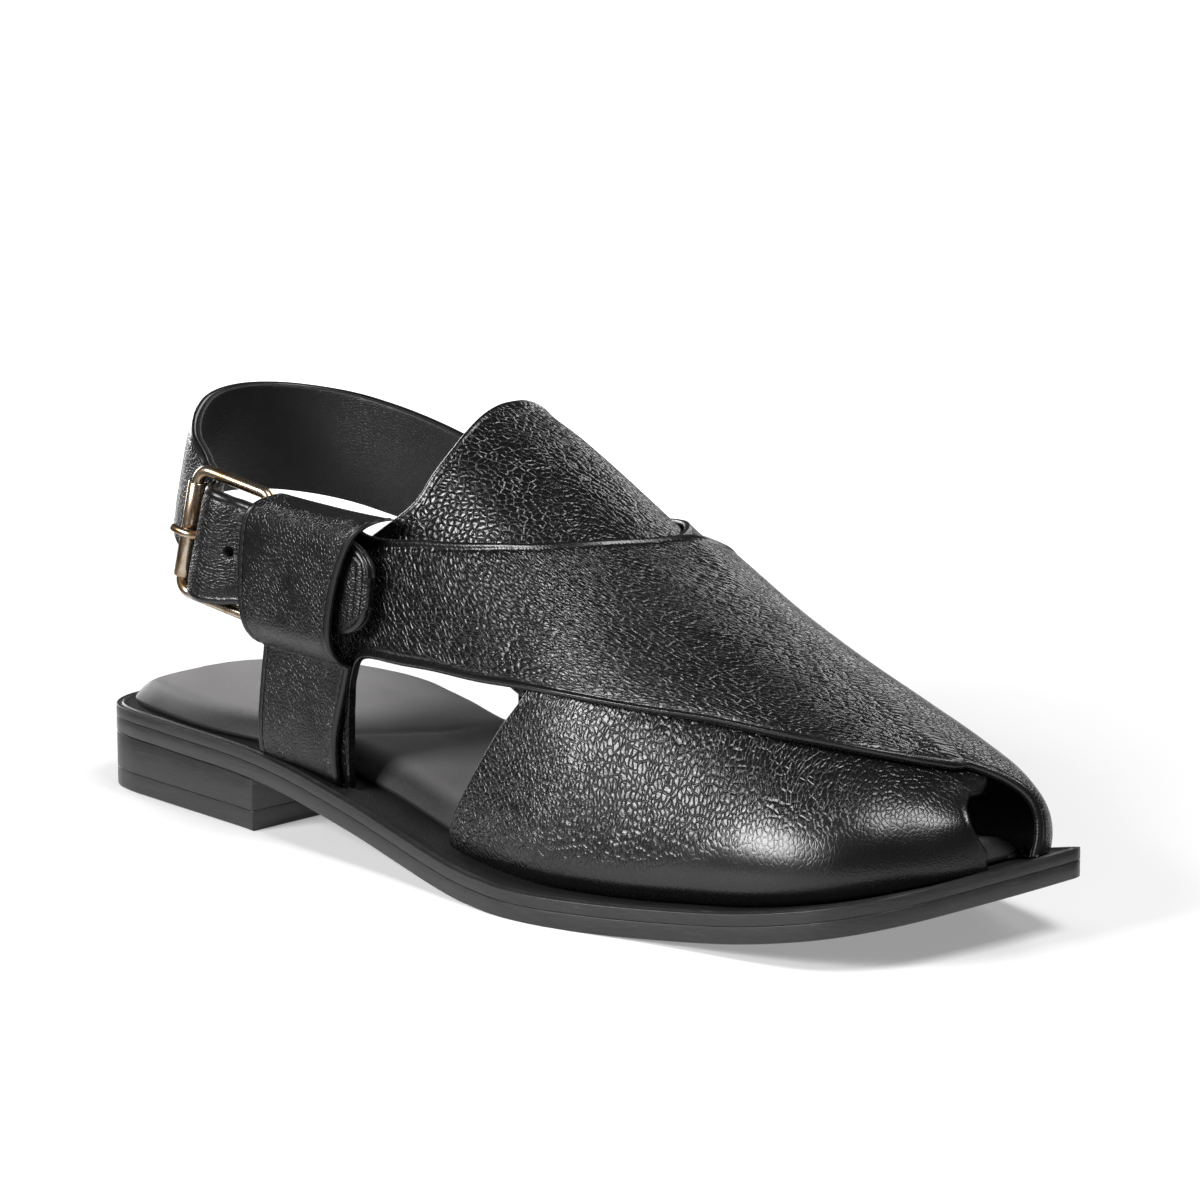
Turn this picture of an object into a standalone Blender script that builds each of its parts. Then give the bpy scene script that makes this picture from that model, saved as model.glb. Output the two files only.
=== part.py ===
# Peshawari chappal, right shoe, at real size in metres.
# +X runs to the toe, +Y to the inner side of the foot, +Z up; the sole stands on z = 0.
import math
import bpy
import numpy as np

# named sizes
SOLE_LENGTH = 0.290
BALL_WIDTH = 0.102
INSTEP_HEIGHT = 0.115
HEEL_HEIGHT = 0.0226
MIDSOLE_THICKNESS = 0.0030
OUTSOLE_THICKNESS = 0.0040
TOP_LIFT_THICKNESS = 0.0052
HEEL_LENGTH = 0.0745
EDGE_ROUND = 0.0004
GAP = 0.0003
STRAP_SEAT = 0.0004
LEDGE = 0.0055
INSOLE_THICKNESS = 0.0066
STRAP_THICKNESS = 0.0020
LAP = 0.0010
TONGUE_THICKNESS = 0.0022
STAY_THICKNESS = 0.0020
WALL_BULGE_HEIGHT = 0.0090
BAND_THICKNESS = 0.0034
BILLET_ROUND = 0.0110
HOLE_RADIUS = 0.0015
BUCKLE_BAR = 0.0014
ROLLER_RADIUS = 0.0024
ROLLER_WALL = 0.0006
ROLLER_LENGTH = 0.0285
BUCKLE_REACH = 0.0239
BUCKLE_INNER_HEIGHT = 0.0304
PRONG_RADIUS = 0.0011
TAB_THICKNESS = 0.0010
TAB_TAIL_OUT = 0.0029
HOLE_CLEARANCE = 0.0005
HOLE_FORWARD = 0.77
TOE_START = 0.74
TOE_EASE = 0.10
HEEL_POINTS = 11
FRONT_POINTS = 20

# the frame's middle lies over the middle of the sole
MIDDLE_X = SOLE_LENGTH / 2.0
MIDDLE_Y = -0.0142 * BALL_WIDTH

# outline of the sole, near (outer) side from heel to toe: share of length, share of ball width
NEAR_EDGE = [
    (0.000, 0.029), (0.002, -0.088), (0.010, -0.186), (0.029, -0.255), (0.059, -0.287),
    (0.103, -0.304), (0.155, -0.322), (0.207, -0.339), (0.255, -0.357), (0.310, -0.382),
    (0.362, -0.402), (0.414, -0.418), (0.466, -0.437), (0.517, -0.465), (0.569, -0.492),
    (0.614, -0.510), (0.655, -0.506), (0.697, -0.484), (0.752, -0.450), (0.800, -0.426),
    (0.845, -0.409), (0.886, -0.390), (0.917, -0.365), (0.941, -0.324), (0.960, -0.265),
    (0.974, -0.181), (0.986, -0.029), (0.995, 0.118), (1.000, 0.270),
]

# outline of the sole, far (inner) side from heel to toe: share of length, share of ball width
FAR_EDGE = [
    (0.000, 0.029), (0.004, 0.137), (0.017, 0.235), (0.041, 0.324), (0.083, 0.387), (0.131, 0.419),
    (0.179, 0.427), (0.228, 0.412), (0.276, 0.388), (0.338, 0.377), (0.397, 0.382), (0.466, 0.407),
    (0.534, 0.436), (0.603, 0.464), (0.672, 0.480), (0.741, 0.480), (0.810, 0.459), (0.879, 0.420),
    (0.938, 0.368), (0.976, 0.328), (1.000, 0.287),
]

# top of the sole from the side: share of length, share of heel height
SOLE_TOP = [
    (0.000, 1.0000), (0.138, 0.9735), (0.255, 0.9336), (0.317, 0.8673), (0.362, 0.7788),
    (0.414, 0.6549), (0.466, 0.5177), (0.510, 0.4248), (0.552, 0.3540), (0.603, 0.3195),
    (0.690, 0.3195), (0.759, 0.3628), (0.845, 0.4867), (0.886, 0.5841), (0.924, 0.6903),
    (0.966, 0.8274), (1.000, 0.9513),
]

# the last: station, near x, near y, far x, far y, crest x, crest y, crest height, fullness, bulge
LAST = [
    (0.20, 0.200, -0.279, 0.214, 0.353, 0.248, 0.010, 1.435, 3.4, 0.010),
    (0.28, 0.276, -0.304, 0.297, 0.309, 0.317, 0.020, 1.304, 3.2, 0.010),
    (0.36, 0.355, -0.319, 0.369, 0.294, 0.372, 0.029, 1.148, 3.0, 0.010),
    (0.43, 0.428, -0.338, 0.434, 0.304, 0.438, 0.044, 1.009, 2.7, 0.018),
    (0.50, 0.500, -0.363, 0.500, 0.328, 0.503, 0.059, 0.922, 2.5, 0.025),
    (0.57, 0.569, -0.392, 0.569, 0.358, 0.569, 0.069, 0.817, 2.4, 0.031),
    (0.64, 0.638, -0.412, 0.638, 0.382, 0.638, 0.074, 0.704, 2.4, 0.033),
    (0.71, 0.707, -0.387, 0.707, 0.387, 0.707, 0.078, 0.600, 2.4, 0.033),
    (0.78, 0.776, -0.348, 0.776, 0.377, 0.776, 0.078, 0.517, 2.4, 0.033),
    (0.85, 0.841, -0.324, 0.852, 0.353, 0.845, 0.078, 0.439, 2.4, 0.031),
    (0.90, 0.886, -0.294, 0.903, 0.324, 0.897, 0.074, 0.383, 2.4, 0.029),
    (0.94, 0.917, -0.250, 0.943, 0.279, 0.928, 0.064, 0.341, 2.4, 0.025),
    (0.97, 0.940, -0.181, 0.968, 0.206, 0.953, 0.057, 0.304, 2.4, 0.020),
    (0.99, 0.965, -0.064, 0.975, 0.127, 0.969, 0.049, 0.265, 2.4, 0.016),
    (1.00, 0.975, 0.020, 0.979, 0.074, 0.977, 0.049, 0.230, 2.4, 0.012),
]

# over strap: rear station, rear turn, front station, front turn, lift above the last in strap thicknesses
OVER_STRAP = [
    (0.300, 0.109, 0.300, 0.000, 0.00), (0.325, 0.127, 0.350, 0.000, 0.00),
    (0.350, 0.141, 0.385, 0.000, 0.00), (0.362, 0.148, 0.387, 0.028, 0.05),
    (0.375, 0.156, 0.389, 0.047, 0.15), (0.398, 0.167, 0.404, 0.069, 0.35),
    (0.448, 0.210, 0.462, 0.098, 0.70), (0.496, 0.245, 0.548, 0.136, 0.95),
    (0.534, 0.281, 0.622, 0.173, 1.00), (0.568, 0.320, 0.695, 0.211, 1.00),
    (0.597, 0.370, 0.765, 0.253, 1.00), (0.618, 0.425, 0.830, 0.297, 1.00),
    (0.632, 0.480, 0.882, 0.357, 1.00), (0.640, 0.550, 0.920, 0.427, 1.00),
    (0.636, 0.630, 0.942, 0.492, 1.00), (0.622, 0.710, 0.957, 0.548, 1.00),
    (0.602, 0.790, 0.967, 0.625, 1.00), (0.578, 0.870, 0.974, 0.735, 1.00),
    (0.550, 0.940, 0.982, 0.860, 1.00), (0.520, 1.000, 0.987, 1.000, 1.00),
]

# under strap: the same columns
UNDER_STRAP = [
    (0.352, 0.865, 0.352, 1.000, 0.00), (0.378, 0.850, 0.395, 1.000, 0.00),
    (0.405, 0.835, 0.432, 1.000, 0.00), (0.418, 0.828, 0.435, 0.972, 0.00),
    (0.430, 0.820, 0.439, 0.950, 0.00), (0.450, 0.805, 0.460, 0.928, 0.00),
    (0.485, 0.765, 0.515, 0.893, 0.00), (0.518, 0.730, 0.575, 0.860, 0.00),
    (0.552, 0.690, 0.640, 0.825, 0.00), (0.580, 0.645, 0.710, 0.785, 0.00),
    (0.603, 0.590, 0.775, 0.740, 0.00), (0.620, 0.530, 0.835, 0.695, 0.00),
    (0.628, 0.470, 0.888, 0.645, 0.00), (0.630, 0.400, 0.930, 0.588, 0.00),
    (0.626, 0.310, 0.958, 0.548, 0.00), (0.618, 0.235, 0.976, 0.520, 0.00),
    (0.603, 0.163, 0.988, 0.495, 0.00), (0.581, 0.112, 0.996, 0.440, 0.00),
    (0.553, 0.055, 1.000, 0.250, 0.00), (0.520, 0.000, 1.000, 0.000, 0.00),
]

# rear edge of the tongue: turn, station
TONGUE_EDGE = [
    (0.150, 0.385), (0.179, 0.401), (0.245, 0.430), (0.286, 0.437), (0.332, 0.443), (0.401, 0.445),
    (0.446, 0.443), (0.500, 0.440), (0.554, 0.443), (0.599, 0.445), (0.668, 0.444), (0.714, 0.442),
    (0.755, 0.437), (0.815, 0.425), (0.850, 0.412),
]
TONGUE_FRONT = 0.66

# near stay with its loop: height share, rear station, front station, lift in stay thicknesses
NEAR_STAY = [
    (0.180, 0.268, 0.378, 1.25), (0.270, 0.270, 0.378, 1.25), (0.370, 0.273, 0.386, 1.25),
    (0.425, 0.276, 0.391, 1.30), (0.437, 0.277, 0.392, 1.50), (0.445, 0.277, 0.393, 2.50),
    (0.457, 0.277, 0.393, 3.50), (0.479, 0.276, 0.393, 4.50), (0.510, 0.275, 0.393, 5.10),
    (0.560, 0.273, 0.394, 5.30), (0.630, 0.273, 0.397, 5.30), (0.710, 0.275, 0.405, 5.30),
    (0.745, 0.279, 0.412, 4.90), (0.764, 0.283, 0.418, 3.80), (0.775, 0.287, 0.423, 2.20),
    (0.780, 0.290, 0.427, 1.35),
]
LOOP_DROP = 0.25

# far stay: the same columns
FAR_STAY = [
    (0.160, 0.347, 0.430, 1.25), (0.270, 0.348, 0.431, 1.25), (0.370, 0.350, 0.436, 1.25),
    (0.430, 0.351, 0.440, 1.50), (0.480, 0.351, 0.441, 2.80), (0.530, 0.350, 0.441, 3.60),
    (0.570, 0.350, 0.441, 3.70), (0.680, 0.350, 0.441, 3.70), (0.770, 0.351, 0.441, 3.60),
    (0.805, 0.352, 0.441, 3.50), (0.825, 0.353, 0.441, 2.90), (0.838, 0.354, 0.441, 1.70),
]

# heel strap and billet: x, y, height, forward lean, sideways lean, half width in shares of ball width
HEEL_STRAP = [
    (1.167, 0.323, 0.728, 0.00, -0.10, 0.124), (1.010, 0.326, 0.761, 0.00, -0.08, 0.129),
    (0.882, 0.339, 0.786, 0.00, -0.06, 0.137), (0.775, 0.351, 0.807, 0.00, -0.05, 0.143),
    (0.647, 0.355, 0.831, 0.00, -0.05, 0.147), (0.529, 0.347, 0.853, 0.02, -0.06, 0.149),
    (0.412, 0.320, 0.876, 0.08, -0.09, 0.150), (0.319, 0.260, 0.895, 0.14, -0.11, 0.150),
    (0.250, 0.167, 0.910, 0.20, -0.08, 0.150), (0.222, 0.049, 0.915, 0.23, 0.00, 0.150),
    (0.240, -0.069, 0.905, 0.22, 0.06, 0.149), (0.304, -0.176, 0.878, 0.18, 0.10, 0.146),
    (0.387, -0.255, 0.843, 0.10, 0.10, 0.144), (0.466, -0.296, 0.802, 0.08, 0.08, 0.142),
    (0.510, -0.315, 0.776, 0.14, 0.08, 0.142), (0.549, -0.330, 0.761, 0.22, 0.06, 0.143),
    (0.573, -0.354, 0.753, 0.25, 0.05, 0.144), (0.589, -0.384, 0.747, 0.25, 0.04, 0.146),
    (0.612, -0.408, 0.741, 0.23, 0.04, 0.148), (0.650, -0.417, 0.735, 0.19, 0.04, 0.147),
    (0.691, -0.406, 0.729, 0.13, 0.04, 0.141), (0.725, -0.391, 0.725, 0.07, 0.05, 0.134),
    (0.765, -0.380, 0.718, 0.02, 0.05, 0.128), (0.814, -0.378, 0.709, 0.00, 0.05, 0.125),
    (0.902, -0.380, 0.698, 0.00, 0.06, 0.123), (1.029, -0.384, 0.688, 0.00, 0.07, 0.121),
    (1.196, -0.385, 0.679, 0.00, 0.08, 0.117),
]

# middles of the roller and of the front bar, in shares of ball width
ROLLER_PLACE = (0.529, -0.373, 0.760)
FRONT_BAR_PLACE = (0.755, -0.333, 0.708)

# section of a strap: across and through, as shares of half width and half thickness
BAND_SECTION = [
    (-1.00, -0.45), (-0.94, -1.00), (-0.45, -1.00), (0.00, -1.00), (0.45, -1.00),
    (0.94, -1.00), (1.00, -0.45), (1.00, 0.45), (0.94, 1.00), (0.45, 1.00),
    (0.00, 1.00), (-0.45, 1.00), (-0.94, 1.00), (-1.00, 0.45),
]

# prong of the buckle: forward, outward, in millimetre-sized shares of the reach
PRONG_PATH = [
    (0.865, -0.030), (0.750, -0.085), (0.580, -0.150), (0.440, -0.190), (0.340, -0.150),
    (0.270, -0.010), (0.200, 0.120), (0.110, 0.170), (0.000, 0.178), (-0.090, 0.160),
    (-0.130, 0.140),
]

# insole edge inside the sole edge, share of length and inset in ledges, near side then far side
INSOLE_NEAR = [(0.00, 1.0), (0.22, 1.0), (0.27, 1.75), (0.70, 1.79), (0.87, 1.94), (0.94, 1.94), (1.00, 2.3)]
INSOLE_FAR = [(0.00, 0.9), (0.31, 0.9), (0.36, 1.75), (0.90, 1.8), (1.00, 2.5)]


def curve(rows, value, at):
    """Smooth curve through the first column of rows and one other column."""
    rows = np.asarray(rows, dtype=float)
    xs = rows[:, 0]
    ys = rows[:, value]
    at = np.clip(np.asarray(at, dtype=float), xs[0], xs[-1])
    step = np.diff(xs)
    slope = np.diff(ys) / step
    grade = np.zeros_like(ys)
    grade[1:-1] = (slope[:-1] * step[1:] + slope[1:] * step[:-1]) / (step[:-1] + step[1:])
    grade[0] = slope[0]
    grade[-1] = slope[-1]
    left = np.clip(np.searchsorted(xs, at) - 1, 0, len(step) - 1)
    t = (at - xs[left]) / step[left]
    first = (2 * t ** 3 - 3 * t ** 2 + 1) * ys[left] + (t ** 3 - 2 * t ** 2 + t) * step[left] * grade[left]
    second = (3 * t ** 2 - 2 * t ** 3) * ys[left + 1] + (t ** 3 - t ** 2) * step[left] * grade[left + 1]
    return first + second


def rows_along(rows, count):
    """Resample a table smoothly along its rows."""
    table = np.asarray(rows, dtype=float)
    numbered = np.column_stack([np.arange(len(table)), table])
    places = np.linspace(0, len(table) - 1, count)
    return np.column_stack([curve(numbered, k + 1, places) for k in range(table.shape[1])])


def sole_top(x):
    """Height of the ledge of the sole at x."""
    return curve(SOLE_TOP, 1, np.asarray(x) / SOLE_LENGTH) * HEEL_HEIGHT


def last_point(station, turn):
    """Point on the foot form: turn 0 is the near base, 0.5 the crest, 1 the far base."""
    station = np.asarray(station, dtype=float)
    turn = np.asarray(turn, dtype=float)
    near_x, near_y, far_x, far_y, crest_x, crest_y, crest_z, fullness, bulge = [
        curve(LAST, k, station) for k in range(1, 10)]
    near = turn < 0.5
    angle = np.pi * np.where(near, turn, 1.0 - turn)
    base_x = np.where(near, near_x, far_x) * SOLE_LENGTH
    base_y = np.where(near, near_y, far_y) * BALL_WIDTH
    crest_x = crest_x * SOLE_LENGTH
    crest_y = crest_y * BALL_WIDTH
    base_z = sole_top(base_x) + STRAP_SEAT
    side = np.maximum(np.cos(angle), 0.0) ** (2.0 / fullness)
    rise = np.maximum(np.sin(angle), 0.0) ** (2.0 / fullness)
    climb = rise * (crest_z * INSTEP_HEIGHT - base_z)
    half = np.hypot(base_x - crest_x, base_y - crest_y)
    swell = climb / WALL_BULGE_HEIGHT * np.exp(1.0 - climb / WALL_BULGE_HEIGHT)
    side = side + bulge * BALL_WIDTH / half * swell
    x = crest_x + side * (base_x - crest_x)
    y = crest_y + side * (base_y - crest_y)
    return np.stack([x, y, base_z + climb], -1)


def skin(station, turn, lift):
    """Point lifted off the foot form along its normal, never below the ledge."""
    near_step = 0.001
    station = np.asarray(station, dtype=float)
    turn = np.clip(np.asarray(turn, dtype=float), 0.0, 1.0)
    first = LAST[0][0]
    ahead = np.clip(station + near_step, first, 1.0)
    behind = np.clip(station - near_step, first, 1.0)
    over = np.clip(turn + near_step, 0.0, 1.0)
    under = np.clip(turn - near_step, 0.0, 1.0)
    along = last_point(ahead, turn) - last_point(behind, turn)
    around = last_point(station, over) - last_point(station, under)
    normal = np.cross(along, around)
    normal = normal / np.linalg.norm(normal, axis=-1, keepdims=True)
    point = last_point(station, turn) + normal * np.asarray(lift)[..., None]
    point[..., 2] = np.maximum(point[..., 2], sole_top(point[..., 0]) + STRAP_SEAT)
    return point


def turn_at(station, height, far):
    """Turn round the last at a height above the floor."""
    base_x = curve(LAST, 3 if far else 1, station) * SOLE_LENGTH
    base_z = sole_top(base_x) + STRAP_SEAT
    crest_z = curve(LAST, 7, station) * INSTEP_HEIGHT
    fullness = curve(LAST, 8, station)
    share = np.clip((height - base_z) / (crest_z - base_z), 0.0, 1.0)
    turn = np.arcsin(share ** (fullness / 2.0)) / np.pi
    return 1.0 - turn if far else turn


def material(name, colour, roughness, metallic):
    made = bpy.data.materials.new(name)
    made.use_nodes = True
    shader = made.node_tree.nodes["Principled BSDF"]
    shader.inputs["Base Color"].default_value = (*colour, 1.0)
    shader.inputs["Roughness"].default_value = roughness
    shader.inputs["Metallic"].default_value = metallic
    return made


def add_object(name, points, faces, look):
    """Make one named closed mesh about the frame's middle."""
    points = np.array(points, dtype=float)
    points[:, 0] -= MIDDLE_X
    points[:, 1] -= MIDDLE_Y
    mesh = bpy.data.meshes.new(name)
    mesh.from_pydata([tuple(p) for p in points], [], faces)
    mesh.validate()
    mesh.update()
    made = bpy.data.objects.new(name, mesh)
    bpy.context.scene.collection.objects.link(made)
    mesh.materials.append(look)
    mesh.shade_smooth()
    mesh.set_sharp_from_angle(angle=math.radians(38))
    return made


def outward(points, faces):
    """Turn all faces over when the volume they hold is negative."""
    volume = 0.0
    for face in faces:
        for k in range(1, len(face) - 1):
            a, b, c = points[face[0]], points[face[k]], points[face[k + 1]]
            volume += np.dot(a, np.cross(b, c))
    if volume < 0.0:
        return [tuple(reversed(face)) for face in faces]
    return faces


def closed_rings(name, rings, look, caps="pairs", loop=False):
    """Join rings of equal length into a closed solid; pair caps join point k with its partner."""
    rings = np.asarray(rings, dtype=float)
    count, size = rings.shape[:2]
    points = rings.reshape(-1, 3)
    faces = []
    for r in range(count if loop else count - 1):
        following = (r + 1) % count
        for k in range(size):
            n = (k + 1) % size
            faces.append((r * size + k, r * size + n, following * size + n, following * size + k))
    if not loop:
        for r in (0, count - 1):
            start = r * size
            half = size // 2
            cap = []
            for k in range(half - 1):
                cap.append((start + k, start + k + 1, start + size - 2 - k))
                cap.append((start + k, start + size - 2 - k, start + size - 1 - k))
            if r == 0:
                cap = [tuple(reversed(face)) for face in cap]
            faces.extend(cap)
    return add_object(name, points, outward(points, faces), look)


def edge_eased(low, high, under_ease):
    """Take the sheet's rim in from its faces so that its edge is round."""
    low = np.array(low)
    high = np.array(high)
    ease = 0.3 * (high - low)
    rim = np.zeros_like(low)
    rim[0, :] = rim[-1, :] = rim[:, 0] = rim[:, -1] = 1.0
    return low + under_ease * ease * rim, high - ease * rim


def sheet(name, station, turn, low, high, look, under_ease=1.0):
    """Closed leather sheet on the last between two lifts."""
    low, high = edge_eased(low, high, under_ease)
    outer = skin(station, turn, high)
    inner = skin(station, turn, low)
    rings = np.concatenate([outer, inner[:, ::-1]], axis=1)
    return closed_rings(name, rings, look)


def across(count, margin):
    """Places across a sheet with one close to each edge."""
    inside = np.linspace(margin, 1.0 - margin, count - 2)
    return np.concatenate([[0.0], inside, [1.0]])


def strap_sheet(name, table, look):
    """Broad strap between a rear edge and a front edge that the table gives."""
    rows = rows_along(table, 40)
    place = across(14, 0.02)[None, :]
    station = rows[:, 0:1] * (1.0 - place) + rows[:, 2:3] * place
    turn = rows[:, 1:2] * (1.0 - place) + rows[:, 3:4] * place
    lift = rows[:, 4:5] + 0.0 * place
    low = lift * (STRAP_THICKNESS - LAP)
    high = (1.0 + lift) * STRAP_THICKNESS
    return sheet(name, station, turn, low, high, look, under_ease=0.0)


def stay_sheet(name, table, far, look):
    """Stay that rises from the ledge; its lift follows what it covers."""
    rows = rows_along(table, 31)
    place = across(8, 0.04)[None, :]
    station = rows[:, 1:2] * (1.0 - place) + rows[:, 2:3] * place
    drop = LOOP_DROP * (station - rows[0, 1]) * rows[:, 0:1]
    height = np.maximum(rows[:, 0:1] - drop, 0.0) * INSTEP_HEIGHT
    turn = turn_at(station, height, far)
    turn[0, :] = 1.0 if far else 0.0
    lift = rows[:, 3:4] * STAY_THICKNESS + 0.0 * place
    return sheet(name, station, turn, lift, lift + STAY_THICKNESS, look)


def side_points(table, heel_count, front_count):
    """Points along one side of the sole, evenly spaced under the heel and evenly before it."""
    fine = rows_along(table, 400)
    xy = np.column_stack([fine[:, 0] * SOLE_LENGTH, fine[:, 1] * BALL_WIDTH])
    run = np.concatenate([[0.0], np.cumsum(np.linalg.norm(np.diff(xy, axis=0), axis=1))])
    breast = np.interp(HEEL_LENGTH, xy[:, 0], run)
    rear = np.linspace(0.0, breast, heel_count)
    front = np.linspace(breast, run[-1], front_count + 1)[1:]
    places = np.concatenate([rear, front])
    return np.column_stack([np.interp(places, run, xy[:, k]) for k in (0, 1)])


def outline(heel_only=False):
    """Closed outline: near side from heel to toe, then the far side back to the heel."""
    near = side_points(NEAR_EDGE, HEEL_POINTS, 0 if heel_only else FRONT_POINTS)
    far = side_points(FAR_EDGE, HEEL_POINTS - 1, 0 if heel_only else FRONT_POINTS + 1)
    return np.concatenate([near[1:], far[::-1][(0 if heel_only else 1):]])


def inset(ring, distance):
    """Move each point of a ring inwards by its distance."""
    before = np.roll(ring, 1, axis=0)
    after = np.roll(ring, -1, axis=0)
    one = ring - before
    two = after - ring
    one = one / np.linalg.norm(one, axis=1, keepdims=True)
    two = two / np.linalg.norm(two, axis=1, keepdims=True)
    normal_one = np.column_stack([-one[:, 1], one[:, 0]])
    normal_two = np.column_stack([-two[:, 1], two[:, 0]])
    mean = normal_one + normal_two
    mean = mean / np.linalg.norm(mean, axis=1, keepdims=True)
    reach = np.asarray(distance) / np.maximum(np.sum(mean * normal_one, axis=1), 0.5)
    return ring + mean * np.broadcast_to(reach, (len(ring),))[:, None]


def slab(name, base, levels, look):
    """Stack of rings: each level has an inset and a height function."""
    rings = []
    for distance, height in levels:
        ring = inset(base, distance)
        rings.append(np.column_stack([ring, height(ring[:, 0])]))
    return closed_rings(name, rings, look)


def above(offset):
    """Height function a fixed distance over the top of the sole."""
    return lambda x: sole_top(x) + offset


def grounded(offset):
    """The same, but never below the floor, so that the forefoot has a flat spot."""
    return lambda x: np.maximum(sole_top(x) + offset, 0.0)


def insole_floor(x):
    """Underside of the insole: a little clear of the sole, and more where the toe turns up."""
    rise = np.clip((np.asarray(x) / SOLE_LENGTH - TOE_START) / TOE_EASE, 0.0, 1.0)
    return sole_top(x) + GAP * (1.0 + 0.8 * rise)


def unit(vector):
    return vector / np.linalg.norm(vector, axis=-1, keepdims=True)


def band_frames(rows):
    """Centre, tangent, width and thickness directions along the heel strap."""
    centre = rows[:, 0:3] * BALL_WIDTH
    tangent = unit(np.gradient(centre, axis=0))
    rise = np.sqrt(np.maximum(1.0 - rows[:, 3] ** 2 - rows[:, 4] ** 2, 0.0))
    width = np.column_stack([rows[:, 3], rows[:, 4], rise])
    width = unit(width - tangent * np.sum(width * tangent, axis=1, keepdims=True))
    through = np.cross(tangent, width)
    return centre, tangent, width, through


def rod(name, path, radius, look, sides=8, loop=False, side_hint=(0.0, 0.0, 1.0), flat=1.0):
    """Round rod swept along a path."""
    path = np.asarray(path, dtype=float)
    if loop:
        tangent = unit(np.roll(path, -1, axis=0) - np.roll(path, 1, axis=0))
    else:
        tangent = unit(np.gradient(path, axis=0))
    hint = np.broadcast_to(np.asarray(side_hint, dtype=float), path.shape)
    first = unit(np.cross(tangent, hint))
    second = np.cross(tangent, first)
    radius = np.broadcast_to(np.asarray(radius, dtype=float), (len(path),))
    angles = (np.arange(sides) + 0.5) * 2.0 * np.pi / sides
    rings = []
    for k in range(len(path)):
        ring = [path[k] + radius[k] * (math.cos(a) * first[k] + flat * math.sin(a) * second[k]) for a in angles]
        rings.append(ring)
    return closed_rings(name, rings, look, loop=loop)


def tube(name, start, end, outer, inner, look, sides=14):
    """Open tube between two points."""
    axis = unit(end - start)
    first = unit(np.cross(axis, np.array([0.0, 1.0, 0.0])))
    second = np.cross(axis, first)
    rings = []
    for a in np.arange(sides) * 2.0 * np.pi / sides:
        way = math.cos(a) * first + math.sin(a) * second
        rings.append([start + way * outer, end + way * outer, end + way * inner, start + way * inner])
    return closed_rings(name, rings, look, loop=True)


for leftover in list(bpy.data.objects):
    bpy.data.objects.remove(leftover)

grain_leather = material("grain_leather", (0.020, 0.020, 0.021), 0.45, 0.0)
smooth_leather = material("smooth_leather", (0.022, 0.022, 0.023), 0.50, 0.0)
strap_leather = material("strap_leather", (0.021, 0.021, 0.022), 0.48, 0.0)
footbed_leather = material("footbed_leather", (0.060, 0.058, 0.060), 0.70, 0.0)
sole_edge = material("sole_edge", (0.045, 0.044, 0.045), 0.55, 0.0)
heel_rubber = material("heel_rubber", (0.040, 0.040, 0.040), 0.60, 0.0)
aged_brass = material("aged_brass", (0.46, 0.38, 0.27), 0.35, 1.0)


def look(base, name):
    """A part's own material after a shared one."""
    made = base.copy()
    made.name = name
    return made


# sole layers
whole = outline()
under_midsole = -MIDSOLE_THICKNESS
outsole_top = under_midsole - GAP
outsole_bottom = outsole_top - OUTSOLE_THICKNESS
slab("midsole", whole, [
    (EDGE_ROUND, above(under_midsole)), (0.0, above(under_midsole + EDGE_ROUND)),
    (0.0, above(-EDGE_ROUND)), (EDGE_ROUND, above(0.0))], look(sole_edge, "midsole_edge"))
slab("outsole", whole, [
    (EDGE_ROUND, grounded(outsole_bottom)), (0.0, above(outsole_bottom + EDGE_ROUND)),
    (0.0, above(outsole_top - EDGE_ROUND)), (EDGE_ROUND, above(outsole_top))], look(sole_edge, "outsole_edge"))

# heel
heel = outline(heel_only=True)
lift_top = TOP_LIFT_THICKNESS
block_bottom = lift_top + GAP
slab("heel_block", heel, [
    (EDGE_ROUND, lambda x: 0.0 * x + block_bottom), (0.0, lambda x: 0.0 * x + block_bottom + EDGE_ROUND),
    (0.0, above(outsole_bottom - GAP))], look(heel_rubber, "heel_block_rubber"))
slab("heel_top_lift", heel, [
    (EDGE_ROUND, lambda x: 0.0 * x), (0.0, lambda x: 0.0 * x + EDGE_ROUND),
    (0.0, lambda x: 0.0 * x + lift_top - EDGE_ROUND), (EDGE_ROUND, lambda x: 0.0 * x + lift_top)],
    look(heel_rubber, "top_lift_rubber"))

# padded insole
half_count = (len(whole) + 1) // 2
near_inset = curve(INSOLE_NEAR, 1, whole[:half_count, 0] / SOLE_LENGTH) * LEDGE
far_inset = curve(INSOLE_FAR, 1, whole[half_count:, 0] / SOLE_LENGTH) * LEDGE
insole_ring = inset(whole, np.concatenate([near_inset, far_inset]))
slab("insole", insole_ring, [
    (0.0008, insole_floor), (0.0, above(0.18 * INSOLE_THICKNESS)), (0.0002, above(0.50 * INSOLE_THICKNESS)),
    (0.0016, above(0.80 * INSOLE_THICKNESS)), (0.0040, above(0.94 * INSOLE_THICKNESS)),
    (0.0080, above(INSOLE_THICKNESS))], look(footbed_leather, "insole_leather"))

# upper: the under strap and the over strap are joined where they cross
under = strap_sheet("under_strap_form", UNDER_STRAP, grain_leather)
upper = strap_sheet("upper", OVER_STRAP, look(grain_leather, "upper_leather"))
under.hide_render = True
under.display_type = 'WIRE'
join = upper.modifiers.new("join", 'BOOLEAN')
join.operation = 'UNION'
join.solver = 'EXACT'
join.object = under

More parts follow.
